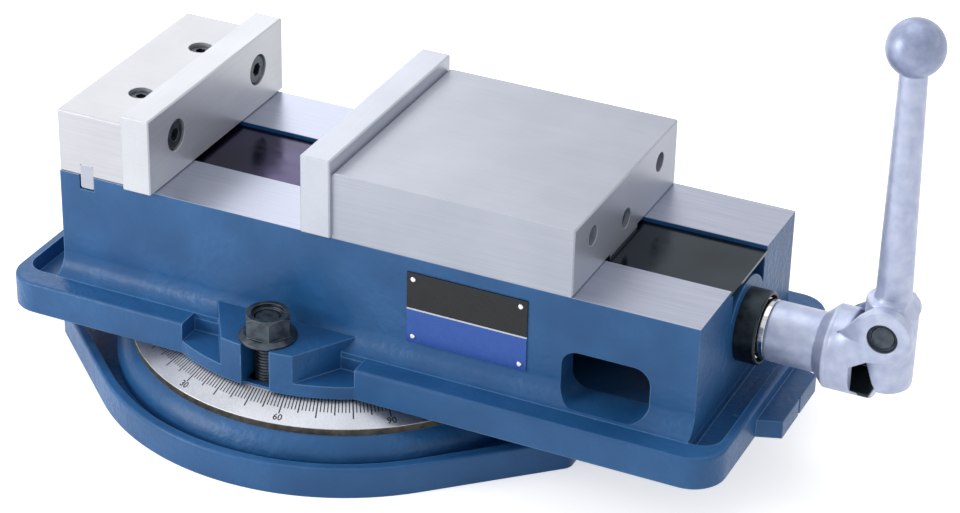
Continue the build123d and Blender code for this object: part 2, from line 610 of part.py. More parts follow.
def front_screw_cover():
    start = -BODY_FRONT + CHANNEL_START + SLIDE_FIT
    end = POST_FRONT_X - JAW_OPENING - COVER_NECK_GAP
    return chip_cover(start, end, cover_screw_places()[0])


def rear_screw_cover():
    return chip_cover(BLOCK_REAR_X - REAR_COVER_LAP, BODY_REAR, cover_screw_places()[1])


def cover_screw(up):
    """A pan head screw through a cover; up is the side its head is on."""
    shank = extrude(Circle(COVER_SCREW_R), -up * (COVER_SCREW_LENGTH - HEAD_FIT))
    head = extrude(Circle(COVER_HEAD_R), up * COVER_HEAD_HEIGHT)
    rim = head.edges().group_by(Axis.Z)[-1 if up > 0 else 0]
    return fillet(rim, COVER_HEAD_HEIGHT / 2) + shank


def front_cover_screws():
    x = cover_screw_places()[0]
    screws = [Pos(x, y, COVER_TOP) * cover_screw(1) for y in (-COVER_SCREW_SPREAD, COVER_SCREW_SPREAD)]
    return Compound(children=screws)


def rear_cover_screws():
    x = cover_screw_places()[1]
    screws = [Pos(x, y, LEDGE_Z) * cover_screw(-1) for y in (-COVER_SCREW_SPREAD, COVER_SCREW_SPREAD)]
    return Compound(children=screws)


def lead_screw():
    cavity_rear = BODY_REAR - END_WALL
    screw = rod_x(SCREW_R, SCREW_TIP_X, cavity_rear - SCREW_RELIEF)
    screw = chamfer(screw.edges().group_by(Axis.X)[0], PIVOT_CHAMFER)
    screw += rod_x(JOURNAL_R, cavity_rear - SCREW_RELIEF, BODY_REAR - RACE_INSET)
    return screw + rod_x(SPINDLE_R, BODY_REAR - RACE_INSET, HUB_X + SPINDLE_GRIP)


def bearing_collar():
    start = BODY_REAR
    collar = rod_x(COLLAR_R, start, start + COLLAR_LENGTH)
    collar = chamfer(collar.edges().group_by(Axis.X)[-1], JAW_EDGE)
    return collar - rod_x(COLLAR_BORE_R, start, start + COLLAR_LENGTH)


def fixed_race():
    start = BODY_REAR - RACE_INSET
    return rod_x(RACE_R, start, RACE_FACE_X) - rod_x(SPINDLE_R + RUN_FIT, start, RACE_FACE_X)


def thrust_balls():
    ball = Pos(BALL_X, BALL_CIRCLE_R, 0) * Sphere(BALL_R)
    turns = [Rot(360 / BALL_COUNT * index, 0, 0) for index in range(BALL_COUNT)]
    return Compound(children=[Pos(0, 0, SCREW_Z) * turn * ball for turn in turns])


def turning_race():
    race = rod_x(TURNING_RACE_R, TURNING_RACE_X, HUB_X)
    return race - rod_x(SPINDLE_R + SCREW_FIT, TURNING_RACE_X, HUB_X)


def cheek_outline():
    """Side view of the fork: the pin boss and the straight web that joins it to the head."""
    boss = Pos(PIN_X, PIN_Z) * Circle(PIN_BOSS_R)
    top = SCREW_Z + HEAD_R
    root_x = CHEEK_X - CHEEK_ROOT
    foot = Polyline((root_x, top), (root_x, SCREW_Z - CHEEK_DROP), (CHEEK_X, SCREW_Z - CHEEK_DROP),
                    close=True)
    return make_hull((boss + make_face(foot)).edges())


def crank_hub():
    hub = rod_x(HUB_R, HUB_X, HUB_X + HUB_LENGTH)
    cone = Cone(HUB_R, HEAD_R, HEAD_CONE, align=(Align.CENTER, Align.CENTER, Align.MIN))
    hub += along_x(HUB_X + HUB_LENGTH, 0, SCREW_Z) * cone
    hub += rod_x(HEAD_R, HEAD_X, CHEEK_X)
    fork = side_view(0, CHEEK_OUTER, 0) * extrude(cheek_outline(), 2 * CHEEK_OUTER)
    sides = fork.faces().filter_by(Axis.Y)
    fork = chamfer(sides.edges(), CHEEK_BEVEL)
    hub += fork
    hub -= block(CHEEK_X, PIN_X + PIN_BOSS_R + HEAD_R, CHEEK_INNER, SCREW_Z - HEAD_R, PIN_Z + PIN_BOSS_R)
    hub -= heel_pocket()
    hub -= rod_x(SPINDLE_R + SCREW_FIT, HUB_X, HUB_X + SPINDLE_GRIP)
    pin_bore = along_y(PIN_X, -CHEEK_OUTER, PIN_Z)
    hub -= pin_bore * extrude(Circle(PIN_R + SCREW_FIT), 2 * CHEEK_OUTER)
    seat = along_y(PIN_X, -CHEEK_OUTER, PIN_Z) * extrude(Circle(PIN_SEAT_R), PIN_SEAT_DEPTH)
    return hub - both_sides(seat)


def heel_pocket():
    """Room in the head for the arm's heel, with a slanted roof that stops the fold."""
    roof = Pos(PIN_X, PIN_Z) * Rot(0, 0, -FOLD_STOP)
    deep_x = CHEEK_X - HEEL_POCKET
    roof_cut = roof * Pos(-KNUCKLE_LEFT - SLIDE_FIT + HEAD_R, -HEAD_R) * Rectangle(2 * HEAD_R, 4 * HEAD_R)
    head_zone = Pos((deep_x + CHEEK_X) / 2, SCREW_Z) * Rectangle(CHEEK_X - deep_x, 2 * HEAD_R)
    pocket = extrude(roof_cut & head_zone, 2 * (CHEEK_INNER + SLIDE_FIT / 2))
    return side_view(0, CHEEK_INNER + SLIDE_FIT / 2, 0) * pocket


def crank_pin():
    length = 2 * (CHEEK_OUTER - PIN_SEAT_DEPTH)
    pin = along_y(PIN_X, -length / 2, PIN_Z) * extrude(Circle(PIN_R), length)
    return chamfer(pin.edges().filter_by(GeomType.CIRCLE), JAW_EDGE)


def crank_arm():
    left = -KNUCKLE_LEFT
    right = KNUCKLE_RIGHT
    outline = Polyline((HEEL_ROUND_END, -KNUCKLE_BOTTOM), (right, -KNUCKLE_BOTTOM),
                       (right, KNUCKLE_TOP - KNUCKLE_CHAMFER), (right - KNUCKLE_CHAMFER, KNUCKLE_TOP),
                       (left, KNUCKLE_TOP), (left, -HEEL_ROUND_TOP))
    heel = ThreePointArc((left, -HEEL_ROUND_TOP), (-HEEL_ROUND_MID_X, -HEEL_ROUND_MID_Z),
                         (HEEL_ROUND_END, -KNUCKLE_BOTTOM))
    half = CHEEK_INNER - SLIDE_FIT
    knuckle = side_view(PIN_X, half, PIN_Z) * extrude(make_face(outline + heel), 2 * half)
    foot_z = KNUCKLE_TOP - ROD_EMBED
    length = ROD_RISE - KNOB_FLAT / 2 - foot_z
    rod = Cone(ROD_FOOT_R, ROD_TOP_R, length, align=(Align.CENTER, Align.CENTER, Align.MIN))
    arm = knuckle + Pos(PIN_X - ROD_OFFSET, 0, PIN_Z + foot_z) * rod
    bore = along_y(PIN_X, -half, PIN_Z) * extrude(Circle(PIN_R + RUN_FIT), 2 * half)
    return arm - bore


def ball_knob():
    centre = (PIN_X - ROD_OFFSET, 0, PIN_Z + ROD_RISE)
    knob = Pos(*centre) * Sphere(KNOB_R)
    knob = split(knob, bisect_by=Plane.XY.offset(PIN_Z + ROD_RISE - KNOB_FLAT), keep=Keep.TOP)
    foot_z = KNUCKLE_TOP - ROD_EMBED
    length = ROD_RISE - KNOB_FLAT / 2 - foot_z
    rod = Cone(ROD_FOOT_R + SCREW_FIT, ROD_TOP_R + SCREW_FIT, length,
               align=(Align.CENTER, Align.CENTER, Align.MIN))
    return knob - Pos(PIN_X - ROD_OFFSET, 0, PIN_Z + foot_z) * rod


def clamp_bolts():
    top = BOSS_TOP + NUT_HEIGHT - NUT_RECESS_DEPTH
    head_top = LIP_BOTTOM - SLIDE_FIT
    head = Pos(0, 0, head_top - CLAMP_HEAD_HEIGHT) * extrude(
        Rectangle(2 * CLAMP_HEAD_HALF, 2 * CLAMP_HEAD_HALF), CLAMP_HEAD_HEIGHT)
    head = chamfer(head.edges().filter_by(Axis.Z), PIVOT_CHAMFER)
    bolt = head + Pos(0, 0, head_top) * extrude(Circle(CLAMP_R), top - head_top)
    return Compound(children=[Pos(0, y, 0) * bolt for y in (-T_SLOT_R, T_SLOT_R)])


def clamp_nuts():
    flange_disc = extrude(Circle(NUT_FLANGE_R), NUT_FLANGE_THICK)
    rim = flange_disc.edges().group_by(Axis.Z)[-1]
    flange_disc = chamfer(rim, NUT_FLANGE_THICK * 0.6, NUT_FLANGE_THICK * 0.9)
    hex_r = NUT_HEX_FLATS / 2
    nut = extrude(RegularPolygon(hex_r, 6, major_radius=False), NUT_HEIGHT)
    crown = Cone(hex_r + NUT_HEIGHT, hex_r, NUT_HEIGHT, align=(Align.CENTER, Align.CENTER, Align.MIN))
    nut = (nut & crown) + flange_disc
    nut -= extrude(Circle(CLAMP_R + SCREW_FIT), NUT_HEIGHT)
    nut -= Pos(0, 0, NUT_HEIGHT - NUT_RECESS_DEPTH) * extrude(Circle(NUT_RECESS_R), NUT_RECESS_DEPTH)
    return Compound(children=[Pos(0, y, BOSS_TOP) * nut for y in (-T_SLOT_R, T_SLOT_R)])


def rivet_places():
    """The four corners of the nameplate, as X and Z."""
    top = BED_Z - NAMEPLATE_DROP
    return [(x, z) for x in (NAMEPLATE_START + RIVET_INSET, NAMEPLATE_START + NAMEPLATE_LENGTH - RIVET_INSET)
            for z in (top - RIVET_INSET, top - NAMEPLATE_HEIGHT + RIVET_INSET)]


def nameplate():
    sheet_z = BED_Z - NAMEPLATE_DROP - NAMEPLATE_HEIGHT / 2
    sheet = Rectangle(NAMEPLATE_LENGTH, NAMEPLATE_HEIGHT)
    middle_x = NAMEPLATE_START + NAMEPLATE_LENGTH / 2
    plate = along_y(middle_x, -BODY_HALF, sheet_z) * extrude(sheet, -NAMEPLATE_THICK)
    for x, z in rivet_places():
        plate -= along_y(x, -BODY_HALF, z) * extrude(Circle(RIVET_R / 2 + SCREW_FIT), -NAMEPLATE_THICK)
    return plate


def nameplate_rivets():
    rivets = []
    for x, z in rivet_places():
        head = extrude(Circle(RIVET_R), -RIVET_HEAD)
        head = fillet(head.edges().group_by(Axis.Z)[0], RIVET_HEAD * 0.6)
        shank = extrude(Circle(RIVET_R / 2), RIVET_SHANK)
        rivets.append(along_y(x, -BODY_HALF - NAMEPLATE_THICK, z) * (head + shank))
    return Compound(children=rivets)


NODES = {
    "swivel_base": swivel_base, "swivel_hub": swivel_hub, "scale_ring": scale_ring,
    "swivel_pivot": swivel_pivot, "vise_body": vise_body, "vise_flange": vise_flange, "jaw_key": jaw_key,
    "fixed_jaw": fixed_jaw, "fixed_jaw_screws": fixed_jaw_screws, "fixed_jaw_plate": fixed_jaw_plate,
    "fixed_plate_screws": lambda: plate_screws(FIXED_FACE_X, 1),
    "movable_jaw": movable_jaw, "movable_jaw_plate": moving_plate,
    "movable_plate_screws": lambda: plate_screws(MOVING_FACE_X, -1),
    "half_ball": half_ball, "screw_nut": screw_nut, "nut_set_screw": nut_set_screw,
    "front_screw_cover": front_screw_cover, "front_cover_screws": front_cover_screws,
    "rear_screw_cover": rear_screw_cover, "rear_cover_screws": rear_cover_screws,
    "lead_screw": lead_screw, "bearing_collar": bearing_collar, "fixed_race": fixed_race,
    "thrust_balls": thrust_balls, "turning_race": turning_race,
    "crank_hub": crank_hub, "crank_pin": crank_pin, "crank_arm": crank_arm, "ball_knob": ball_knob,
    "clamp_bolts": clamp_bolts, "clamp_nuts": clamp_nuts,
    "nameplate": nameplate, "nameplate_rivets": nameplate_rivets,
}

os.makedirs("parts", exist_ok=True)
for name, make in NODES.items():
    export_step(make(), f"parts/{name}.step")
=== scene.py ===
# %% [markdown]
# # A machine vise on a swivel base
#
# The vise is cast iron under blue enamel, with jaws and a bed that are ground bright, a black bearing
# collar and a crank in silver paint. The CAD model brings every piece at its real size. This script
# gives each one its finish and adds what the eye needs: threads, the forged shapes of the crank's
# joint, the graduations of the swivel scale and the studio around it.

# %% Load the frame
import bpy
import math
import numpy as np
from mathutils import Matrix, Vector


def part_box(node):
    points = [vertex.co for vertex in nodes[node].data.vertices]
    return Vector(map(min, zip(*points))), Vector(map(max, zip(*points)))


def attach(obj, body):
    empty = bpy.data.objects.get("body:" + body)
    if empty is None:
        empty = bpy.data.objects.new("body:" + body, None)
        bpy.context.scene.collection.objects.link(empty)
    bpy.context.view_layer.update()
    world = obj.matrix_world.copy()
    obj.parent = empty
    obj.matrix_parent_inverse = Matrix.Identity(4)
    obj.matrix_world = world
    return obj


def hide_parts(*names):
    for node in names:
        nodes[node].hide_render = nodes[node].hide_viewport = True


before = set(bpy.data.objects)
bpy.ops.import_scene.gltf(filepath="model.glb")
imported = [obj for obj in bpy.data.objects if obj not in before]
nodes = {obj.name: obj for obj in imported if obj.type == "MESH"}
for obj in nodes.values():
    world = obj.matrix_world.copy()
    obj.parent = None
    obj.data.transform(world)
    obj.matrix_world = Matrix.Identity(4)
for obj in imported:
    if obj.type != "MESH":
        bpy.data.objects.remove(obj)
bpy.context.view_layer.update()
MM = 0.001

# %% [markdown]
# ## Colours, shader nodes and materials
#
# Colours are written as hex values, the way a picture editor shows them, and one function turns them
# into the linear values that a renderer works with. A second one adds a shader node together with its
# settings and its links, so that a material reads as a short list of steps. A third puts a recipe of
# such steps behind a Principled shader. Textures work in millimetres of the object's own space.


# %% Helpers for materials
def linear(code):
    """Linear RGBA of an sRGB hex colour: a straight line below 0.04045, above it a power of 2.4."""
    values = [int(code[start:start + 2], 16) / 255 for start in (0, 2, 4)]
    return [v / 12.92 if v <= 0.04045 else ((v + 0.055) / 1.055) ** 2.4 for v in values] + [1.0]


def add(tree, kind, inputs, out=0, **settings):
    """Adds a shader node; inputs take values or the sockets they are linked to. Gives one output."""
    node = tree.nodes.new("ShaderNode" + kind)
    for key, value in settings.items():
        setattr(node, key, value)
    for key, value in inputs.items():
        if isinstance(value, bpy.types.NodeSocket):
            tree.links.new(value, node.inputs[key])
        else:
            node.inputs[key].default_value = value
    return node.outputs[out]


def make_material(name, recipe, constants):
    """A Principled material: constants sit on its sockets, recipe(tree) gives the sockets that vary."""
    made = bpy.data.materials.new(name)
    made.use_nodes = True
    tree = made.node_tree
    shader = tree.nodes["Principled BSDF"]
    for socket, value in constants.items():
        shader.inputs[socket].default_value = value
    for socket, source in recipe(tree).items():
        tree.links.new(source, shader.inputs[socket])
    return made


def finish(material, *names):
    """Gives CAD nodes their material."""
    for name in names:
        nodes[name].data.materials.clear()
        nodes[name].data.materials.append(material)
    print(material.name, "on", ", ".join(names))


def place_mm(tree, stretch=(1, 1, 1)):
    """Where a point is, in millimetres, with a factor below 1 along an axis that lines run along."""
    here = add(tree, "TexCoord", {}, "Object")
    return add(tree, "Mapping", {"Vector": here, "Scale": [factor / MM for factor in stretch]})


# Lightens edges: rubbed corners on black oxide, and a painted highlight on enamel, bare steel and silver
# paint.
def edge_wear(tree, radius_mm, amount):
    """0 on a flat and up to amount near an edge: how far the edge-rounding normal leaves the true one."""
    rounded = add(tree, "Bevel", {"Radius": radius_mm * MM}, samples=6)
    true = add(tree, "NewGeometry", {}, "Normal")
    agree = add(tree, "VectorMath", {0: rounded, 1: true}, "Value", operation="DOT_PRODUCT")
    return add(tree, "MapRange", {"Value": agree, "From Min": 0.99, "From Max": 0.8, "To Min": 0.0,
                                  "To Max": amount})


# %% [markdown]
# ## Blue enamel on cast iron
#
# The base and the body are sand castings, sprayed with satin enamel. The sand leaves low lumps about
# 14 mm wide, and in patches a coarser grain about 4.5 mm wide. The spray adds orange peel about 2 mm
# wide. A pale blue along the edges is a painted highlight, where rounded edges would catch the lamps.
# The top of the bed is ground after painting, so the same casting turns to bright steel in one plane. A
# mask on the height does that. The body casting is two nodes that meet at one height, and the rounding
# of edges stops just around it, so that no line shows in the paint.

# %% Enamel
BED_TOP_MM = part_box("vise_body")[1].z / MM
CASTING_JOINT_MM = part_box("vise_body")[0].z / MM
JOINT_BAND_MM = 3.5
ENAMEL_EDGE_MM = 1.3


def enamel_recipe(tree):
    """Clouded blue with a pale painted highlight on the edges, low casting lumps and orange peel."""
    where = place_mm(tree)
    cloud = add(tree, "TexNoise", {"Vector": where, "Scale": 1 / 40, "Detail": 2.0})
    peel = add(tree, "TexNoise", {"Vector": where, "Scale": 1 / 2.0, "Detail": 2.0})
    lumps = add(tree, "TexNoise", {"Vector": where, "Scale": 1 / 14, "Detail": 2.0})
    grit = add(tree, "TexNoise", {"Vector": where, "Scale": 1 / 4.5, "Detail": 3.0})
    deep = add(tree, "MapRange", {"Value": cloud, "From Min": 0.35, "From Max": 0.65})
    blue = add(tree, "Mix", {0: deep, 6: linear("1E5488"), 7: linear("2A6197")}, 2, data_type="RGBA")
    # Painted highlight: the edges turn pale blue, as if rounded edges caught the lamps.
    edges = edge_wear(tree, ENAMEL_EDGE_MM, 0.75)
    colour = add(tree, "Mix", {0: edges, 6: blue, 7: linear("6FA3D2")}, 2, data_type="RGBA")
    gloss = add(tree, "MapRange", {"Value": peel, "From Min": 0.3, "From Max": 0.7, "To Min": 0.36,
                                   "To Max": 0.5})
    patches = add(tree, "MapRange", {"Value": cloud, "From Min": 0.45, "From Max": 0.6, "To Min": 0.15,
                                     "To Max": 0.6})
    height = add(tree, "SeparateXYZ", {"Vector": where}, "Z")
    at_joint = add(tree, "Math", {0: height, 1: CASTING_JOINT_MM, 2: JOINT_BAND_MM}, operation="COMPARE")
    rounded = add(tree, "Bevel", {"Radius": ENAMEL_EDGE_MM * MM}, samples=6)
    true = add(tree, "NewGeometry", {}, "Normal")
    soft = add(tree, "Mix", {0: at_joint, 4: rounded, 5: true}, 1, data_type="VECTOR")
    normal = add(tree, "Bump", {"Height": lumps, "Strength": 0.5, "Distance": 1.2 * MM, "Normal": soft})
    normal = add(tree, "Bump", {"Height": grit, "Strength": patches, "Distance": 1.0 * MM, "Normal": normal})
    normal = add(tree, "Bump", {"Height": peel, "Strength": 0.2, "Distance": 0.3 * MM, "Normal": normal})
    return {"Base Color": colour, "Roughness": gloss, "Normal": normal}


def ground_bed_recipe(tree):
    """The enamel's recipe, and above the bed's height bright steel with grinding lines along X."""
    paint = enamel_recipe(tree)
    where = place_mm(tree)
    height = add(tree, "SeparateXYZ", {"Vector": where}, "Z")
    ground = add(tree, "MapRange", {"Value": height, "From Min": BED_TOP_MM - 0.25,
                                    "From Max": BED_TOP_MM - 0.05})
    lines = add(tree, "TexNoise", {"Vector": place_mm(tree, (0.02, 1, 1)), "Scale": 1 / 0.9, "Detail": 4.0})
    level = add(tree, "MapRange", {"Value": lines, "From Min": 0.3, "From Max": 0.7})
    steel = add(tree, "Mix", {0: level, 6: linear("A2A7B9"), 7: linear("B2B6C6")}, 2, data_type="RGBA")
    shine = add(tree, "MapRange", {"Value": lines, "From Min": 0.3, "From Max": 0.7, "To Min": 0.3,
                                   "To Max": 0.4})
    colour = add(tree, "Mix", {0: ground, 6: paint["Base Color"], 7: steel}, 2, data_type="RGBA")
    gloss = add(tree, "Mix", {0: ground, 2: paint["Roughness"], 3: shine}, 0, data_type="FLOAT")
    flat = add(tree, "NewGeometry", {}, "Normal")
    normal = add(tree, "Mix", {0: ground, 4: paint["Normal"], 5: flat}, 1, data_type="VECTOR")
    return {"Base Color": colour, "Roughness": gloss, "Normal": normal, "Metallic": ground}


PAINT = {"Specular IOR Level": 0.35, "Coat Weight": 0.08, "Coat Roughness": 0.2}
finish(make_material("enamelled_casting", enamel_recipe, PAINT), "swivel_base", "swivel_hub", "vise_flange")
finish(make_material("enamelled_casting_with_ground_bed", ground_bed_recipe, PAINT), "vise_body")

# %% [markdown]
# ## Ground and turned steel
#
# Jaws and jaw plates are hardened and surface ground, the screw and the pivot are turned. The tool
# leaves straight lines well under a tenth of a millimetre wide, which no picture of the whole vise
# can show, so they are drawn about 0.7 mm wide and very faint. Squeezing a noise along one axis gives
# lines along that axis, and the same lines vary the gloss, so that highlights streak a little. On the
# jaws a metallic value under one half stands for the light that the fine grooves scatter.


# %% Ground steel
def steel_material(name, along, dull, bright, rough_low, rough_high, metallic=1.0):
    """Bare steel with faint tool lines along one axis, slow clouds of tone and a painted highlight on the
    edges.
    """
    def recipe(tree):
        stretch = [0.015 if axis == along else 1.0 for axis in "xyz"]
        lines = add(tree, "TexNoise", {"Vector": place_mm(tree, stretch), "Scale": 1 / 0.7, "Detail": 5.0})
        cloud = add(tree, "TexNoise", {"Vector": place_mm(tree), "Scale": 1 / 38, "Detail": 3.0})
        both = add(tree, "Math", {0: lines, 1: cloud}, operation="ADD")
        level = add(tree, "MapRange", {"Value": both, "From Min": 0.75, "From Max": 1.25})
        tone = add(tree, "Mix", {0: level, 6: linear(dull), 7: linear(bright)}, 2, data_type="RGBA")
        # Painted highlight: the edges turn near white.
        edges = edge_wear(tree, 0.6, 0.5)
        colour = add(tree, "Mix", {0: edges, 6: tone, 7: linear("ECEEF3")}, 2, data_type="RGBA")
        gloss = add(tree, "MapRange", {"Value": lines, "From Min": 0.3, "From Max": 0.7, "To Min": rough_low,
                                       "To Max": rough_high})
        rounded = add(tree, "Bevel", {"Radius": 0.5 * MM}, samples=6)
        normal = add(tree, "Bump", {"Height": lines, "Strength": 0.04, "Distance": 0.03 * MM,
                                    "Normal": rounded})
        return {"Base Color": colour, "Roughness": gloss, "Normal": normal}
    return make_material(name, recipe, {"Metallic": metallic})


finish(steel_material("ground_steel_bright", "x", "BCBDC3", "C6C7CD", 0.32, 0.4, 0.45), "fixed_jaw")
finish(steel_material("ground_steel_plate", "y", "C4C7CE", "CFD2D8", 0.32, 0.42, 0.45), "fixed_jaw_plate")
# Painted shade: the movable jaw, its key and its plate get darker copies of the same ground steel, as if
# farther from the key lamp.
finish(steel_material("ground_steel_painted_shade", "x", "AAAFBC", "B5B9C6", 0.32, 0.4, 0.45),
       "movable_jaw", "jaw_key")
finish(steel_material("ground_steel_painted_shade_plate", "y", "BFC4D0", "CACEDA", 0.32, 0.42, 0.45),
       "movable_jaw_plate")
turned_steel = steel_material("turned_steel", "z", "8C8F96", "B8BAC0", 0.25, 0.4)
finish(turned_steel, "lead_screw", "swivel_pivot")
finish(steel_material("satin_scale_steel", "z", "B4B7BF", "D0D2D8", 0.38, 0.5), "scale_ring")
finish(steel_material("polished_bearing_steel", "x", "BFC0C4", "D8D8DA", 0.08, 0.16),
       "fixed_race", "thrust_balls", "turning_race", "half_ball")
finish(steel_material("machined_cast_iron", "y", "55565A", "6E6F74", 0.4, 0.55), "screw_nut")
finish(steel_material("polished_rivet_aluminium", "z", "CFCFD4", "E8E8EC", 0.18, 0.28), "nameplate_rivets")

# %% [markdown]
# ## Black oxide
#
# Screws, nuts and the bearing collar are blackened in a hot salt bath. The layer is a thousandth of a
# millimetre thick and soaked with oil, so it keeps a dull metal gloss, and it rubs off first at the
# corners, where the steel shows through.


# %% Black oxide
def black_oxide(name, dark, cloudy, worn):
    """Near-black metal with clouds 5 mm wide and lighter corners."""
    def recipe(tree):
        cloud = add(tree, "TexNoise", {"Vector": place_mm(tree), "Scale": 1 / 5, "Detail": 4.0})
        level = add(tree, "MapRange", {"Value": cloud, "From Min": 0.35, "From Max": 0.65})
        tone = add(tree, "Mix", {0: level, 6: linear(dark), 7: linear(cloudy)}, 2, data_type="RGBA")
        edges = edge_wear(tree, 0.5, 0.7)
        colour = add(tree, "Mix", {0: edges, 6: tone, 7: linear(worn)}, 2, data_type="RGBA")
        gloss = add(tree, "MapRange", {"Value": cloud, "From Min": 0.3, "From Max": 0.7, "To Min": 0.32,
                                       "To Max": 0.48})
        rounded = add(tree, "Bevel", {"Radius": 0.5 * MM}, samples=6)
        normal = add(tree, "Bump", {"Height": cloud, "Strength": 0.1, "Distance": 0.1 * MM,
                                    "Normal": rounded})
        return {"Base Color": colour, "Roughness": gloss, "Normal": normal}
    return make_material(name, recipe, {"Metallic": 0.75})


screw_black = black_oxide("black_oxide_screws", "353C44", "505962", "868E95")
finish(screw_black, "fixed_jaw_screws", "fixed_plate_screws", "movable_plate_screws", "nut_set_screw",
       "clamp_bolts", "clamp_nuts", "front_cover_screws", "rear_cover_screws", "crank_pin")
ring_black = black_oxide("black_oxide_collar", "1C2429", "2B353C", "5A656C")
finish(ring_black, "bearing_collar")

# %% [markdown]
# ## Blued sheet
#
# The two chip covers are thin spring steel with a dark, glossy temper colour. It drifts from purple
# to slate over a hand's width, as heat treatment leaves it.


# %% Chip covers
def blued_sheet(name, first, second):
    """Glossy dark metal whose tint drifts slowly, with oily smears along the sheet."""
    def recipe(tree):
        drift = add(tree, "TexNoise", {"Vector": place_mm(tree), "Scale": 1 / 60, "Detail": 1.0})
        level = add(tree, "MapRange", {"Value": drift, "From Min": 0.35, "From Max": 0.65})
        tone = add(tree, "Mix", {0: level, 6: linear(first), 7: linear(second)}, 2, data_type="RGBA")
        smear = add(tree, "TexNoise", {"Vector": place_mm(tree, (0.2, 1, 1)), "Scale": 1 / 6, "Detail": 4.0})
        gloss = add(tree, "MapRange", {"Value": smear, "From Min": 0.3, "From Max": 0.7, "To Min": 0.1,
                                       "To Max": 0.24})
        rounded = add(tree, "Bevel", {"Radius": 0.4 * MM}, samples=6)
        normal = add(tree, "Bump", {"Height": smear, "Strength": 0.03, "Distance": 0.3 * MM,
                                    "Normal": rounded})
        return {"Base Color": tone, "Roughness": gloss, "Normal": normal}
    return make_material(name, recipe, {"Metallic": 0.85})


finish(blued_sheet("blued_sheet_purple", "221F36", "322B50"), "front_screw_cover")
finish(blued_sheet("blued_sheet_slate", "1E272F", "2D3740"), "rear_screw_cover")

# %% [markdown]
# ## Silver paint on the crank
#
# Hub, arm and knob are forged and sprayed with a silver paint that has a cool, lilac cast. The knob gets a
# darker copy of it, which is painted shade. Flakes of metal in the paint make it a soft mirror, and the
# forging under it stays a little lumpy.


# %% Silver paint
def silver_paint(name, dull, bright):
    """Silver paint: lumps 7 mm wide under fine flakes, with a pale painted highlight on the edges."""
    def recipe(tree):
        where = place_mm(tree)
        lumps = add(tree, "TexNoise", {"Vector": where, "Scale": 1 / 7, "Detail": 3.0})
        flakes = add(tree, "TexNoise", {"Vector": where, "Scale": 1 / 0.7, "Detail": 2.0})
        level = add(tree, "MapRange", {"Value": lumps, "From Min": 0.3, "From Max": 0.7})
        tone = add(tree, "Mix", {0: level, 6: linear(dull), 7: linear(bright)}, 2, data_type="RGBA")
        # Painted highlight: the edges turn pale.
        edges = edge_wear(tree, 1.2, 0.4)
        colour = add(tree, "Mix", {0: edges, 6: tone, 7: linear("E8ECF6")}, 2, data_type="RGBA")
        gloss = add(tree, "MapRange", {"Value": flakes, "From Min": 0.3, "From Max": 0.7, "To Min": 0.34,
                                       "To Max": 0.46})
        rounded = add(tree, "Bevel", {"Radius": 1.2 * MM}, samples=6)
        normal = add(tree, "Bump", {"Height": lumps, "Strength": 0.3, "Distance": 0.9 * MM,
                                    "Normal": rounded})
        normal = add(tree, "Bump", {"Height": flakes, "Strength": 0.1, "Distance": 0.15 * MM,
                                    "Normal": normal})
        return {"Base Color": colour, "Roughness": gloss, "Normal": normal}
    return make_material(name, recipe, {"Metallic": 0.4, "Coat Weight": 0.15, "Coat Roughness": 0.25})


silver = silver_paint("silver_painted_forging", "B4BEDC", "CCD4EC")
finish(silver, "crank_hub", "crank_arm")
# Painted shade: the knob's silver is a darker copy of the crank's.
finish(silver_paint("silver_paint_knob_painted_shade", "8E99BA", "A8B2D0"), "ball_knob")

# %% [markdown]
# ## The bare nameplate
#
# The plate is anodised aluminium, printed black in its upper part and blue in its lower part, with a
# fine bright line between them. It carries no words. The bands are places on the plate, so they come
# from its box.

# %% Nameplate
PLATE_SPLIT_MM = 23.4
PLATE_LINE_MM = 1.0


def nameplate_recipe(tree):
    """Two printed bands and the bare line between them, from the height of each point."""
    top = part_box("nameplate")[1].z / MM
    where = place_mm(tree)
    z = add(tree, "SeparateXYZ", {"Vector": where}, "Z")
    split = top - PLATE_SPLIT_MM
    upper = add(tree, "MapRange", {"Value": z, "From Min": split - 0.1, "From Max": split + 0.1})
    bands = add(tree, "Mix", {0: upper, 6: linear("2A56A8"), 7: linear("121417")}, 2, data_type="RGBA")
    line = add(tree, "Math", {0: z, 1: split, 2: PLATE_LINE_MM / 2}, operation="COMPARE")
    grain = add(tree, "TexNoise", {"Vector": where, "Scale": 1 / 3, "Detail": 3.0})
    gloss = add(tree, "MapRange", {"Value": grain, "From Min": 0.3, "From Max": 0.7, "To Min": 0.22,
                                   "To Max": 0.34})
    colour = add(tree, "Mix", {0: line, 6: bands, 7: linear("C9CDD6")}, 2, data_type="RGBA")
    return {"Base Color": colour, "Roughness": gloss}


finish(make_material("printed_anodised_aluminium", nameplate_recipe, {"Metallic": 0.3}), "nameplate")

# %% [markdown]
# ## Meshes as grids of points
#
# The pieces that this script adds are made of points in millimetres and of faces that say which points
# belong together. Blender has ready shapes to start from, but most of these pieces follow a formula, so
# their points are a grid: rows along the piece and columns around it.


# %% Helpers for meshes
def mesh_piece(name, points, faces, material):
    """An object at the origin from points in millimetres and faces of point numbers."""
    mesh = bpy.data.meshes.new(name)
    mesh.from_pydata((np.reshape(points, (-1, 3)) * MM).tolist(), [], faces)
    mesh.materials.append(material)
    piece = bpy.data.objects.new(name, mesh)
    bpy.context.scene.collection.objects.link(piece)
    print(name, len(faces), "faces")
    return piece


def bar_faces(rows, columns):
    """Faces of a bar of rows around its length: columns close up around it, and the end rows get caps."""
    index = np.arange(rows * columns).reshape(rows, columns)
    beside = np.roll(index, -1, axis=1)
    quads = np.stack([index[:-1], beside[:-1], beside[1:], index[1:]], axis=-1).reshape(-1, 4)
    return quads.tolist() + [index[0, ::-1].tolist(), index[-1].tolist()]


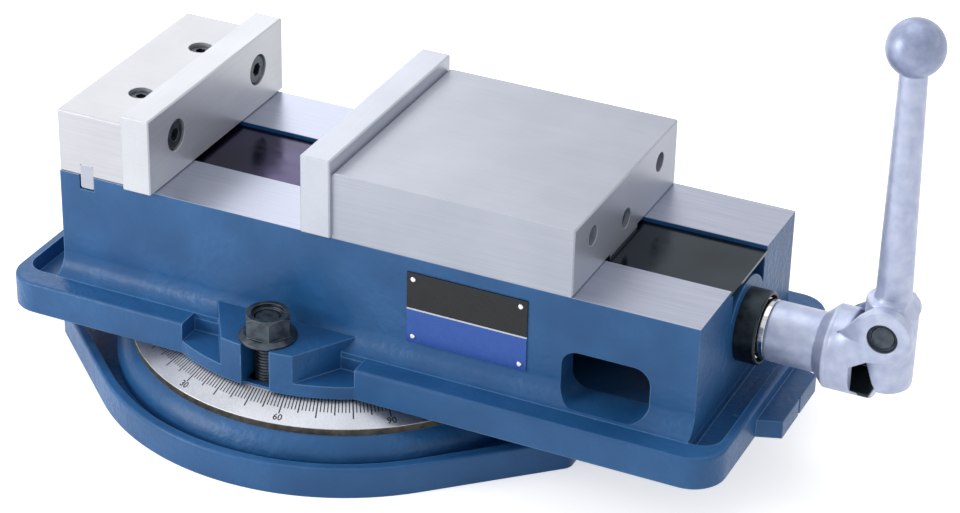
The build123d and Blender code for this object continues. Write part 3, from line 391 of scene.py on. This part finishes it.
# %% [markdown]
# ## The lead screw's thread
#
# The screw moves the nut 5 mm for each turn. Turning the crank clockwise has to close the jaw, away
# from the crank, so the thread is left-handed. A thread could be swept along a helix, but a simpler
# way is one grid around a bar: the radius dips where distance along the bar and angle around it add
# up to a groove. Where the thread runs out, the groove fades over one turn.


# %% Threaded bars
CREST_SHARE = 0.3
FLANK_SHARE = 0.4


def groove_depth(phase, depth):
    """0 on the crest and depth in the groove, with straight flanks between, over a phase of 0 to 1."""
    wave = np.abs((phase % 1.0) * 2 - 1)
    return depth * np.clip((wave - CREST_SHARE) / FLANK_SHARE, 0, 1)


def threaded_bar(stations, radii, pitch, hand, depth, threaded_to, columns):
    """Points of a bar along X: radius less the groove, whose phase is x / pitch less hand times the turns.

    hand is 1 for a right-hand thread and -1 for a left-hand one.
    """
    angle = np.linspace(0, 2 * np.pi, columns, endpoint=False)
    x, turn = np.meshgrid(stations, angle, indexing="ij")
    fade = np.clip((threaded_to - x) / pitch, 0, 1)
    radius = np.asarray(radii)[:, None] - fade * groove_depth(x / pitch - hand * turn / (2 * np.pi), depth)
    return np.stack([x, radius * np.cos(turn), radius * np.sin(turn)], axis=-1)


# %% Lead screw
SCREW_PITCH_MM = 5.0
SCREW_DEPTH_MM = 2.2
SCREW_ROWS = 430
TIP_BEVEL_MM = 1.5
JOURNAL_FROM_MM = 234.0
JOURNAL_STEP_MM = 1.0
SPINDLE_FROM_MM = 250.0
SPINDLE_STEP_MM = 2.0
low, high = (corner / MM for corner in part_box("lead_screw"))
screw_z = (low.z + high.z) / 2
screw_r = (high.z - low.z) / 2
journal_r = screw_r - JOURNAL_STEP_MM
spindle_r = screw_r - SPINDLE_STEP_MM
thread_x = np.linspace(low.x + TIP_BEVEL_MM, JOURNAL_FROM_MM, SCREW_ROWS)
stations = np.concatenate([[low.x], thread_x, [JOURNAL_FROM_MM, SPINDLE_FROM_MM, SPINDLE_FROM_MM, high.x]])
radii = np.concatenate([[screw_r - TIP_BEVEL_MM], np.full(SCREW_ROWS, screw_r),
                        [journal_r, journal_r, spindle_r, spindle_r]])
points = threaded_bar(stations, radii, SCREW_PITCH_MM, -1, SCREW_DEPTH_MM, JOURNAL_FROM_MM - 1, 64)
points = points + [0, 0, screw_z]
screw = mesh_piece("threaded_lead_screw", points, bar_faces(*points.shape[:2]), turned_steel)
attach(screw, "spindle")
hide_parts("lead_screw")

# %% [markdown]
# ## The crank's joint
#
# Near the joint the forging is rounder than the CAD model has it. The arm is a round bar down to its
# heel, and each cheek of the fork flows out of the round head into a flat boss around the pin. The arm
# is one grid of circles, whose points stop at two edges: the heel's curve and a bevel on the shoulder.

# %% Crank arm
def circles(profile, columns):
    """Points around the Z axis: (r cos t, r sin t, z) with a row for each (r, z) of the profile."""
    turn = np.linspace(0, 2 * np.pi, columns, endpoint=False)
    radius, height = np.transpose(profile)[..., None]
    return np.stack([radius * np.cos(turn), radius * np.sin(turn), height + 0 * turn], axis=-1)


PIN_X_MM = 337.1
PIN_Z_MM = 116.5
KNUCKLE_X_MM = 335.3
KNUCKLE_R_MM = 14.8
KNUCKLE_FROM_Z_MM = 81.0
KNUCKLE_TO_Z_MM = 129.3
KNUCKLE_ROWS = 60
ROD_FOOT_R_MM = 10.0
ROD_FOOT_Z_MM = 136.0
ROD_TOP_R_MM = 7.5
ROD_ROWS = 30
ROD_TOP_X_MM = 333.1
ROD_FROM_Z_MM = 131.0
ROD_TOP_Z_MM = 273.5
NO_LIMIT_MM = 1000.0
HEEL_ROUNDING_MM = [(13.2, 77.0), (14.4, 78.0), (KNUCKLE_R_MM, 79.5)]
SHOULDER_ROUNDING_MM = [(14.1, 130.4), (12.6, 130.9), (10.9, 131.5), (10.2, 133.5)]
HEEL_EDGE_MM = np.array([(-1.5, -39.5), (-5.5, -34.0), (-8.8, -26.0), (-13.0, -18.0), (-16.2, -10.0)])
BEVEL_EDGE_MM = np.array([(12.6, 5.5), (7.6, 13.5), (7.6, 16.5)])
knuckle_z = np.linspace(KNUCKLE_FROM_Z_MM, KNUCKLE_TO_Z_MM, KNUCKLE_ROWS)
knuckle = [(KNUCKLE_R_MM, height) for height in knuckle_z]
rod = np.linspace((ROD_FOOT_R_MM, ROD_FOOT_Z_MM), (ROD_TOP_R_MM, ROD_TOP_Z_MM), ROD_ROWS).tolist()
points = circles(HEEL_ROUNDING_MM + knuckle + SHOULDER_ROUNDING_MM + rod, 96)
z = points[..., 2]
x = points[..., 0] + np.interp(z, [ROD_FROM_Z_MM, ROD_TOP_Z_MM], [KNUCKLE_X_MM, ROD_TOP_X_MM])
heel_x, heel_z = HEEL_EDGE_MM.T
bevel_x, bevel_z = BEVEL_EDGE_MM.T
x = np.maximum(x, np.interp(z, PIN_Z_MM + heel_z, PIN_X_MM + heel_x, right=-NO_LIMIT_MM))
x = np.minimum(x, np.interp(z, PIN_Z_MM + bevel_z, PIN_X_MM + bevel_x, left=NO_LIMIT_MM, right=NO_LIMIT_MM))
points[..., 0] = x
arm = mesh_piece("forged_crank_arm", points, bar_faces(*points.shape[:2]), silver)
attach(arm, "crank")
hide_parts("crank_arm")

# %% [markdown]
# The fork is one mesh of closed solids that run into each other: the hub with its cone, the head's shell
# around the pocket for the heel, and two cheeks. A cheek is a ring of rows around the pin's hole: down
# its outline, over its outer face to the hole and back under it. The outer face is the head's round
# side near the head and a plane at the boss, with a smooth step between, and a wide bevel takes off the
# lower right of the near boss.

# %% Rings and joined solids
def ring_faces(rows, columns):
    """Faces of a ring: rows close up as well as columns, so it needs no caps."""
    index = np.arange(rows * columns).reshape(rows, columns)
    beside = np.roll(index, -1, axis=1)
    quads = np.stack([index, beside, np.roll(beside, -1, axis=0), np.roll(index, -1, axis=0)], axis=-1)
    return quads.reshape(-1, 4).tolist()


def joined(solids):
    """Points and faces of several closed solids as one mesh, from pairs of points and faces."""
    all_points = []
    all_faces = []
    count = 0
    for points, faces in solids:
        all_points.append(np.reshape(points, (-1, 3)))
        all_faces += [[count + corner for corner in face] for face in faces]
        count += len(all_points[-1])
    return np.concatenate(all_points), all_faces


# %% Head of the fork
HEAD_Z_MM = 92.0
HEAD_R_MM = 24.1
HEAD_FROM_MM = 304.1
POCKET_FROM_MM = 306.0
EDGE_ROUNDING_MM = [(2.0, 0.0), (0.8, 0.15), (0.2, 0.5), (0.0, 1.0)]
CHEEK_INNER_MM = 16.0
ROOF_ABOVE_MM = 21.5
FLOOR_BELOW_MM = 18.0
POCKET_MOST_MM = 22.8
HUB_PROFILE_MM = [(16.3, 268.1), (17.5, 269.3), (17.5, 297.1), (HEAD_R_MM, HEAD_FROM_MM),
                  (24.0, HEAD_FROM_MM + 0.05), (24.0, 306.1)]
HEAD_ENDS_MM = [(0, 320.1), (44, 320.1), (50, 315.6), (130, 315.6), (136, 320.1), (226, 320.1), (240, 331),
                (300, 331), (314, 320.1), (360, 320.1)]


def head_shell(columns=180):
    """The head around its pocket: out to the front edge, over it with a small rounding and back inside.

    The edge's X depends on the angle t. The pocket reaches the nearest of the flat faces of walls, roof
    and floor: the least of inner / |cos t| and above or below / |sin t|.
    """
    turn = np.linspace(0, 2 * np.pi, columns, endpoint=False)
    end = np.interp(np.degrees(turn), *np.transpose(HEAD_ENDS_MM))
    to_wall = CHEEK_INNER_MM / np.maximum(np.abs(np.cos(turn)), 0.01)
    flat = np.where(np.sin(turn) > 0, ROOF_ABOVE_MM, FLOOR_BELOW_MM)
    to_flat = flat / np.maximum(np.abs(np.sin(turn)), 0.01)
    inside = np.minimum(np.minimum(to_wall, to_flat), POCKET_MOST_MM)
    same = np.zeros(columns)
    rows = [(HEAD_FROM_MM + same, HEAD_R_MM + same), (POCKET_FROM_MM + same, HEAD_R_MM + same)]
    rows += [(end - back, HEAD_R_MM - inward + same) for back, inward in EDGE_ROUNDING_MM]
    rows += [(end, inside), (POCKET_FROM_MM - 0.5 + same, inside)]
    x, reach = np.transpose(rows, (1, 0, 2))
    return np.stack([x, reach * np.cos(turn), HEAD_Z_MM + reach * np.sin(turn)], axis=-1)


# %% Cheeks of the fork
BOSS_ARC = np.radians(np.arange(112, -98, -5))
BLEND_FROM_MM = -33.0
BLEND_WIDTH_MM = 23.0
HEAD_SIDE_LEAST_MM = 15.0
BEVEL_MIDDLE = math.radians(-47)
BEVEL_SPREAD = math.radians(75)
BEVEL_SLOPE = 0.5
CORNER_ROUNDING_MM = [0, 1.4, 0.8, 0.35, 0.1]
PIN_SEAT_MM = 1.9
FACE_ROWS = 24


def outline_reach(corners, turn):
    """How far an outline around the pin reaches at each angle, from 40 points on each of its edges."""
    share = np.linspace(0, 1, 40)[:, None, None]
    edges = corners * (1 - share) + np.roll(corners, -1, axis=0) * share
    edge_x, edge_z = edges.reshape(-1, 2).T
    edge_turn = np.arctan2(edge_z, edge_x) % (2 * np.pi)
    order = np.argsort(edge_turn, kind="stable")
    return np.interp(turn, edge_turn[order], np.hypot(edge_x, edge_z)[order], period=2 * np.pi)


def cheek(left, below, boss_r, hole_r, boss_face, bevel_width, columns=180):
    """A cheek on the -Y side; left and below are the outline's corners beside the boss, from the pin.

    Its outer face lies at side + (boss - side) * s * s * (3 - 2 * s), where side is the head's round
    side at that height and s grows from 0 to 1 on the way to the boss.
    """
    boss = np.stack([boss_r * np.cos(BOSS_ARC), boss_r * np.sin(BOSS_ARC)], axis=-1)
    turn = np.linspace(0, 2 * np.pi, columns, endpoint=False)
    reach = outline_reach(np.concatenate([left, boss, below]), turn)
    share = np.concatenate([[1.0, 1.0, 0.99, 0.97, 0.94], np.linspace(0.9, 0.0, FACE_ROWS), [0.0]])
    spread = hole_r + (reach - hole_r) * share[:, None]
    dx = spread * np.cos(turn)
    dz = spread * np.sin(turn)
    side = np.sqrt(np.maximum(HEAD_R_MM ** 2 - (PIN_Z_MM + dz - HEAD_Z_MM) ** 2, HEAD_SIDE_LEAST_MM ** 2))
    blend = np.clip((dx - BLEND_FROM_MM) / BLEND_WIDTH_MM, 0, 1)
    face = side + (boss_face - side) * blend * blend * (3 - 2 * blend)
    away = np.abs((turn - BEVEL_MIDDLE + np.pi) % (2 * np.pi) - np.pi) / BEVEL_SPREAD
    width = bevel_width * np.clip(1 - away, 0, 1)
    face = face - BEVEL_SLOPE * np.clip(spread - (boss_r - width), 0, width)
    face = face - np.array(CORNER_ROUNDING_MM + [0] * (FACE_ROWS + 1))[:, None]
    face = np.maximum(face, CHEEK_INNER_MM + 0.1)
    face[0] = CHEEK_INNER_MM
    face[-1] = boss_face - PIN_SEAT_MM
    return np.stack([PIN_X_MM + dx, -face, PIN_Z_MM + dz], axis=-1)


# %% Fork
hub = np.roll(circles(HUB_PROFILE_MM, 128), 1, axis=-1) + [0, 0, HEAD_Z_MM]
near = cheek([(-31, -8.5), (-24, -3), (-15, 8.5), (-8.4, 14.4)], [(-8, -17.4), (-19, -24), (-31, -25)],
             boss_r=16.6, hole_r=8.8, boss_face=22.5, bevel_width=6.2)
far = cheek([(-31, -8.5), (-24, -3), (-12, 4)], [(-7, -11), (-19, -24), (-31, -25)],
            boss_r=9.4, hole_r=7.05, boss_face=20.0, bevel_width=0.5)
far = (far * [1, -1, 1])[:, ::-1]
solids = [(hub, bar_faces(*hub.shape[:2]))]
solids += [(ring, ring_faces(*ring.shape[:2])) for ring in (head_shell(), near, far)]
fork = mesh_piece("forged_fork_hub", *joined(solids), silver)
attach(fork, "spindle")
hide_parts("crank_hub")

# %% [markdown]
# The heel's pocket lies in deep shade. Two thin black plates stand in it as painted shade, one on its far
# side and one on its floor, and a dark ring around the near end of the pin is painted shade in the gap of
# its seat.

# %% Painted shade in the pocket
UNIT_BOX = np.array([[0, 0, 0], [1, 0, 0], [1, 1, 0], [0, 1, 0], [0, 0, 1], [1, 0, 1], [1, 1, 1], [0, 1, 1]])
BOX_FACES = np.array([[0, 3, 2, 1], [4, 5, 6, 7], [0, 1, 5, 4], [1, 2, 6, 5], [2, 3, 7, 6], [3, 0, 4, 7]])


def box_solid(corner, size):
    """Points and faces of a box, from its lowest corner and its size along X, Y and Z."""
    return np.array(corner) + UNIT_BOX * size, BOX_FACES.tolist()


# Painted shade: black plates on the pocket's far side and floor, where it lies in shadow.
far_wall = box_solid((POCKET_FROM_MM, 15.0, 73.6), (20, 1.4, 25.4))
floor_plate = box_solid((POCKET_FROM_MM, -14.6, 73.2), (24.5, 29.2, 1.6))
pocket_painted_shade = mesh_piece("fork_pocket_painted_shade", *joined([far_wall, floor_plate]), ring_black)
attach(pocket_painted_shade, "spindle")

# %% Pin ring
# Painted shade: a dark ring in the gap around the pin's seat.
PIN_RING_PROFILE_MM = [(8.6, -21.4), (8.6, -20.8), (7.1, -20.8), (7.1, -21.4)]
points = np.roll(circles(PIN_RING_PROFILE_MM, 64), -1, axis=-1) + [PIN_X_MM, 0, PIN_Z_MM]
pin_shade_ring = mesh_piece("pin_seat_painted_shade", points, ring_faces(*points.shape[:2]), ring_black)
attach(pin_shade_ring, "spindle")

# %% [markdown]
# ## The clamp bolts' thread
#
# The shank of a clamp bolt shows below its nut, so it gets a real thread of 2 mm pitch. The points of a
# bar along X, turned over into a bar along Z, make the shank, and a box makes the head in the T slot.

# %% Clamp bolts
BOLT_R_MM = 8.0
BOLT_PITCH_MM = 2.0
BOLT_DEPTH_MM = 1.0
BOLT_TOP_MM = 80.6
BOLT_BEVEL_MM = 1.0
BOLT_ROWS = 320
BOLT_Y_MM = 98.0
BOLT_HEAD_HALF_MM = 13.0
BOLT_HEAD_LOW_MM = 11.7
BOLT_HEAD_HEIGHT_MM = 12.0
neck_z = BOLT_HEAD_LOW_MM + BOLT_HEAD_HEIGHT_MM - 0.1
thread_z = np.linspace(neck_z + 2.6, BOLT_TOP_MM - BOLT_BEVEL_MM, BOLT_ROWS)
bolt_z = np.concatenate([[neck_z, neck_z + 2.4], thread_z, [BOLT_TOP_MM]])
bolt_r = np.concatenate([np.full(BOLT_ROWS + 2, BOLT_R_MM), [BOLT_R_MM - BOLT_BEVEL_MM]])
lying = threaded_bar(bolt_z, bolt_r, BOLT_PITCH_MM, 1, BOLT_DEPTH_MM, BOLT_TOP_MM + BOLT_PITCH_MM, 48)
shank = np.roll(lying, -1, axis=-1)
head_size = np.array([2 * BOLT_HEAD_HALF_MM, 2 * BOLT_HEAD_HALF_MM, BOLT_HEAD_HEIGHT_MM])
solids = []
for side_y in (-BOLT_Y_MM, BOLT_Y_MM):
    head_corner = (-BOLT_HEAD_HALF_MM, side_y - BOLT_HEAD_HALF_MM, BOLT_HEAD_LOW_MM)
    solids.append((shank + [0, side_y, 0], bar_faces(*shank.shape[:2])))
    solids.append(box_solid(head_corner, head_size))
bolts = mesh_piece("threaded_clamp_bolts", *joined(solids), screw_black)
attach(bolts, "vise")
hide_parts("clamp_bolts")

# %% [markdown]
# ## The graduations of the swivel scale
#
# The bevelled ring is divided into 360 degrees: a short line for each degree, a longer one every 5 and
# the longest every 10, filled with black. The numbers count from 0 up to 90 and back down in each
# quarter. Each line is a thin bar that lies on the cone, and all of them are worked out in one array.

# %% Lines of the scale
SCALE_TURN_DEG = -1.0
MARK_LIFT_MM = 0.04
CONE_TOP_MM = 40.5
CONE_INNER_MM = 111.0
CONE_WIDTH_MM = 18.4
CONE_DROP_MM = 9.6
CONE_SLOPE = CONE_DROP_MM / CONE_WIDTH_MM
LONG_TO_MM = 123.4
MIDDLE_TO_MM = 121.4
SHORT_TO_MM = 119.8
WIDE_HALF_MM = 0.4
FINE_HALF_MM = 0.32
LINE_DEPTH_MM = 0.2


def on_cone(radius, angle, lift):
    """The point at a radius and an angle on the ring's cone, raised by lift: z falls with the radius."""
    z = CONE_TOP_MM - (radius - CONE_INNER_MM) * CONE_SLOPE + lift
    return np.stack([radius * np.cos(angle), radius * np.sin(angle), z], axis=-1)


def ink_recipe(tree):
    """Matt black filler with slight clouds 2 mm wide."""
    cloud = add(tree, "TexNoise", {"Vector": place_mm(tree), "Scale": 1 / 2, "Detail": 3.0})
    tone = add(tree, "Mix", {0: cloud, 6: linear("15171A"), 7: linear("2B2E32")}, 2, data_type="RGBA")
    return {"Base Color": tone}


ink = make_material("black_line_filler", ink_recipe, {"Roughness": 0.6})
degree = np.arange(360)
line_end = np.select([degree % 10 == 0, degree % 5 == 0], [LONG_TO_MM, MIDDLE_TO_MM], SHORT_TO_MM)
half_width = np.where(degree % 5 == 0, WIDE_HALF_MM, FINE_HALF_MM)
middle = np.radians(degree + SCALE_TURN_DEG)
line_start = np.full(360, CONE_INNER_MM + 1)
corners = [(radius, middle + side * half_width / radius)
           for radius, side in ((line_start, -1), (line_end, -1), (line_end, 1), (line_start, 1))]
lower = np.stack([on_cone(radius, angle, -LINE_DEPTH_MM) for radius, angle in corners], axis=1)
upper = np.stack([on_cone(radius, angle, MARK_LIFT_MM) for radius, angle in corners], axis=1)
line_faces = (BOX_FACES[None] + 8 * degree[:, None, None]).reshape(-1, 4).tolist()
scale_lines = mesh_piece("scale_lines", np.concatenate([lower, upper], axis=1), line_faces, ink)
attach(scale_lines, "base")

# %% [markdown]
# The ring's outer edge is dark grey-brown: a band a twentieth of a millimetre proud of it carries that
# colour.

# %% Edge of the scale
EDGE_R_MM = CONE_INNER_MM + CONE_WIDTH_MM
EDGE_LOW_MM = 26.7
EDGE_HIGH_MM = 30.7
outer_r = EDGE_R_MM + 0.05
inner_r = EDGE_R_MM - 0.3
points = circles([(outer_r, EDGE_LOW_MM), (outer_r, EDGE_HIGH_MM), (inner_r, EDGE_HIGH_MM),
                  (inner_r, EDGE_LOW_MM)], 256)
# A dark grey-brown band on the ring's outer edge.
dark_edge_finish = black_oxide("dark_scale_edge_finish", "57534B", "716B60", "8E887C")
scale_edge = mesh_piece("scale_edge_band", points, ring_faces(*points.shape[:2]), dark_edge_finish)
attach(scale_edge, "base")

# %% [markdown]
# The numbers start as flat text. Text becomes a mesh first, and then its points are laid around the
# cone: what was its height runs up the slope, and what was its width runs around the ring. A digit is
# about 0.7 of the size that the font is set to.

# %% Numbers of the scale
NUMBER_HEIGHT_MM = 4.0
DIGIT_SHARE = 0.7
NUMBER_FOOT_MM = 127.2
NUMBER_THICK_MM = 0.24
NUMBER_BOLD_MM = 0.09
ZERO_DEG = 219.0
slope_cosine = 1 / math.hypot(1, CONE_SLOPE)


def number_on_cone(text, angle):
    """Points and faces of a number whose middle is at an angle on the ring."""
    curve = bpy.data.curves.new("number", "FONT")
    curve.body = text
    curve.align_x = "CENTER"
    curve.size = NUMBER_HEIGHT_MM / DIGIT_SHARE
    curve.extrude = NUMBER_THICK_MM / 2
    curve.offset = NUMBER_BOLD_MM
    curve.resolution_u = 3
    flat = bpy.data.objects.new("number", curve)
    bpy.context.scene.collection.objects.link(flat)
    mesh = bpy.data.meshes.new_from_object(flat.evaluated_get(bpy.context.evaluated_depsgraph_get()))
    bpy.data.objects.remove(flat)
    flat_points = np.zeros(len(mesh.vertices) * 3)
    mesh.vertices.foreach_get("co", flat_points)
    across, up, out = flat_points.reshape(-1, 3).T
    laid = on_cone(NUMBER_FOOT_MM - up * slope_cosine, angle + across / NUMBER_FOOT_MM,
                   out - NUMBER_THICK_MM / 2 + MARK_LIFT_MM)
    faces = [list(polygon.vertices) for polygon in mesh.polygons]
    bpy.data.meshes.remove(mesh)
    return laid, faces


solids = []
for step in range(12):
    value = 30 * min(step % 6, 6 - step % 6)
    solids.append(number_on_cone(str(value), math.radians(ZERO_DEG + 30 * step)))
scale_numbers = mesh_piece("scale_numbers", *joined(solids), ink)
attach(scale_numbers, "base")

# %% [markdown]
# ## Floor, light and camera
#
# The vise stands on a plain white floor in soft light. The floor shows white to the camera and still
# takes the vise's shadow: some plain white light is added to a white surface that the lamps light. The
# lamps are large, so their shadows are soft and the enamel gets broad, calm highlights.

# %% Floor
FLOOR_GLOW = 0.6
floor_mesh = bpy.data.meshes.new("studio_floor")
floor_mesh.from_pydata([(-6, -6, 0), (6, -6, 0), (6, 6, 0), (-6, 6, 0)], [], [(0, 1, 2, 3)])
floor = bpy.data.objects.new("studio_floor", floor_mesh)
bpy.context.scene.collection.objects.link(floor)
paper = bpy.data.materials.new("white_studio_paper")
paper.use_nodes = True
tree = paper.node_tree
tree.nodes.remove(tree.nodes["Principled BSDF"])
matt = add(tree, "BsdfDiffuse", {"Color": linear("F4F4F4")})
seen = add(tree, "LightPath", {}, "Is Camera Ray")
mirrored = add(tree, "LightPath", {}, "Is Glossy Ray")
either = add(tree, "Math", {0: seen, 1: mirrored}, operation="MAXIMUM")
share = add(tree, "Math", {0: either, 1: FLOOR_GLOW}, operation="MULTIPLY")
glow = add(tree, "Emission", {"Color": (1, 1, 1, 1), "Strength": share})
both = add(tree, "AddShader", {0: matt, 1: glow})
tree.links.new(both, tree.nodes["Material Output"].inputs["Surface"])
floor_mesh.materials.append(paper)
print("floor glow", FLOOR_GLOW)

# %% World
WORLD_LIGHT = 0.55
world = bpy.data.worlds.new("white_studio")
bpy.context.scene.world = world
world.use_nodes = True
tree = world.node_tree
seen = add(tree, "LightPath", {}, "Is Camera Ray")
mirrored = add(tree, "LightPath", {}, "Is Glossy Ray")
through = add(tree, "LightPath", {}, "Is Transmission Ray")
either = add(tree, "Math", {0: seen, 1: mirrored}, operation="MAXIMUM")
either = add(tree, "Math", {0: either, 1: through}, operation="MAXIMUM")
strength = add(tree, "MapRange", {"Value": either, "To Min": WORLD_LIGHT, "To Max": 1.0})
background = tree.nodes["Background"]
background.inputs["Color"].default_value = (1, 1, 1, 1)
tree.links.new(strength, background.inputs["Strength"])
print("world light", WORLD_LIGHT)


# %% Lamps
def soft_lamp(name, place, target, size, power):
    """A square area lamp at a place that looks at a target, in metres and watts."""
    lamp = bpy.data.lights.new(name, "AREA")
    lamp.size = size
    lamp.energy = power
    rig = bpy.data.objects.new(name, lamp)
    bpy.context.scene.collection.objects.link(rig)
    rig.location = place
    rig.rotation_euler = (Vector(target) - Vector(place)).to_track_quat("-Z", "Y").to_euler()
    print(name, power, "W")


soft_lamp("key_lamp", (-0.8, -0.75, 0.6), (0.0, 0, 0.1), 0.6, 7)
soft_lamp("top_lamp", (-0.1, 0.3, 1.7), (0.05, 0, 0.1), 1.2, 6)
soft_lamp("back_lamp", (-1.1, 1.7, 1.1), (-0.05, 0, 0.1), 0.8, 3.0)

# %% [markdown]
# The camera stands where the photograph was taken from: its place, direction and focal length were
# worked out from sixty points and lines of the picture, whose real sizes are known from the CAD model.

# %% Camera
camera_data = bpy.data.cameras.new("camera")
camera_data.sensor_width = 36
camera_data.lens = 108.738
camera_data.clip_end = 20
camera = bpy.data.objects.new("camera", camera_data)
bpy.context.scene.collection.objects.link(camera)
right = Vector((0.9060006, 0.42272303, 0.02163688))
up = Vector((-0.22450446, 0.43657667, 0.87120524))
back = Vector((0.35883236, -0.79417004, 0.49044193))
camera.matrix_world = Matrix.Translation((0.6930855, -1.3411142, 0.9208141)) @ Matrix(
    (right, up, back)).transposed().to_4x4()
bpy.context.scene.camera = camera
bpy.context.scene.view_settings.view_transform = "Standard"
print("camera at", [round(value, 3) for value in camera.location])
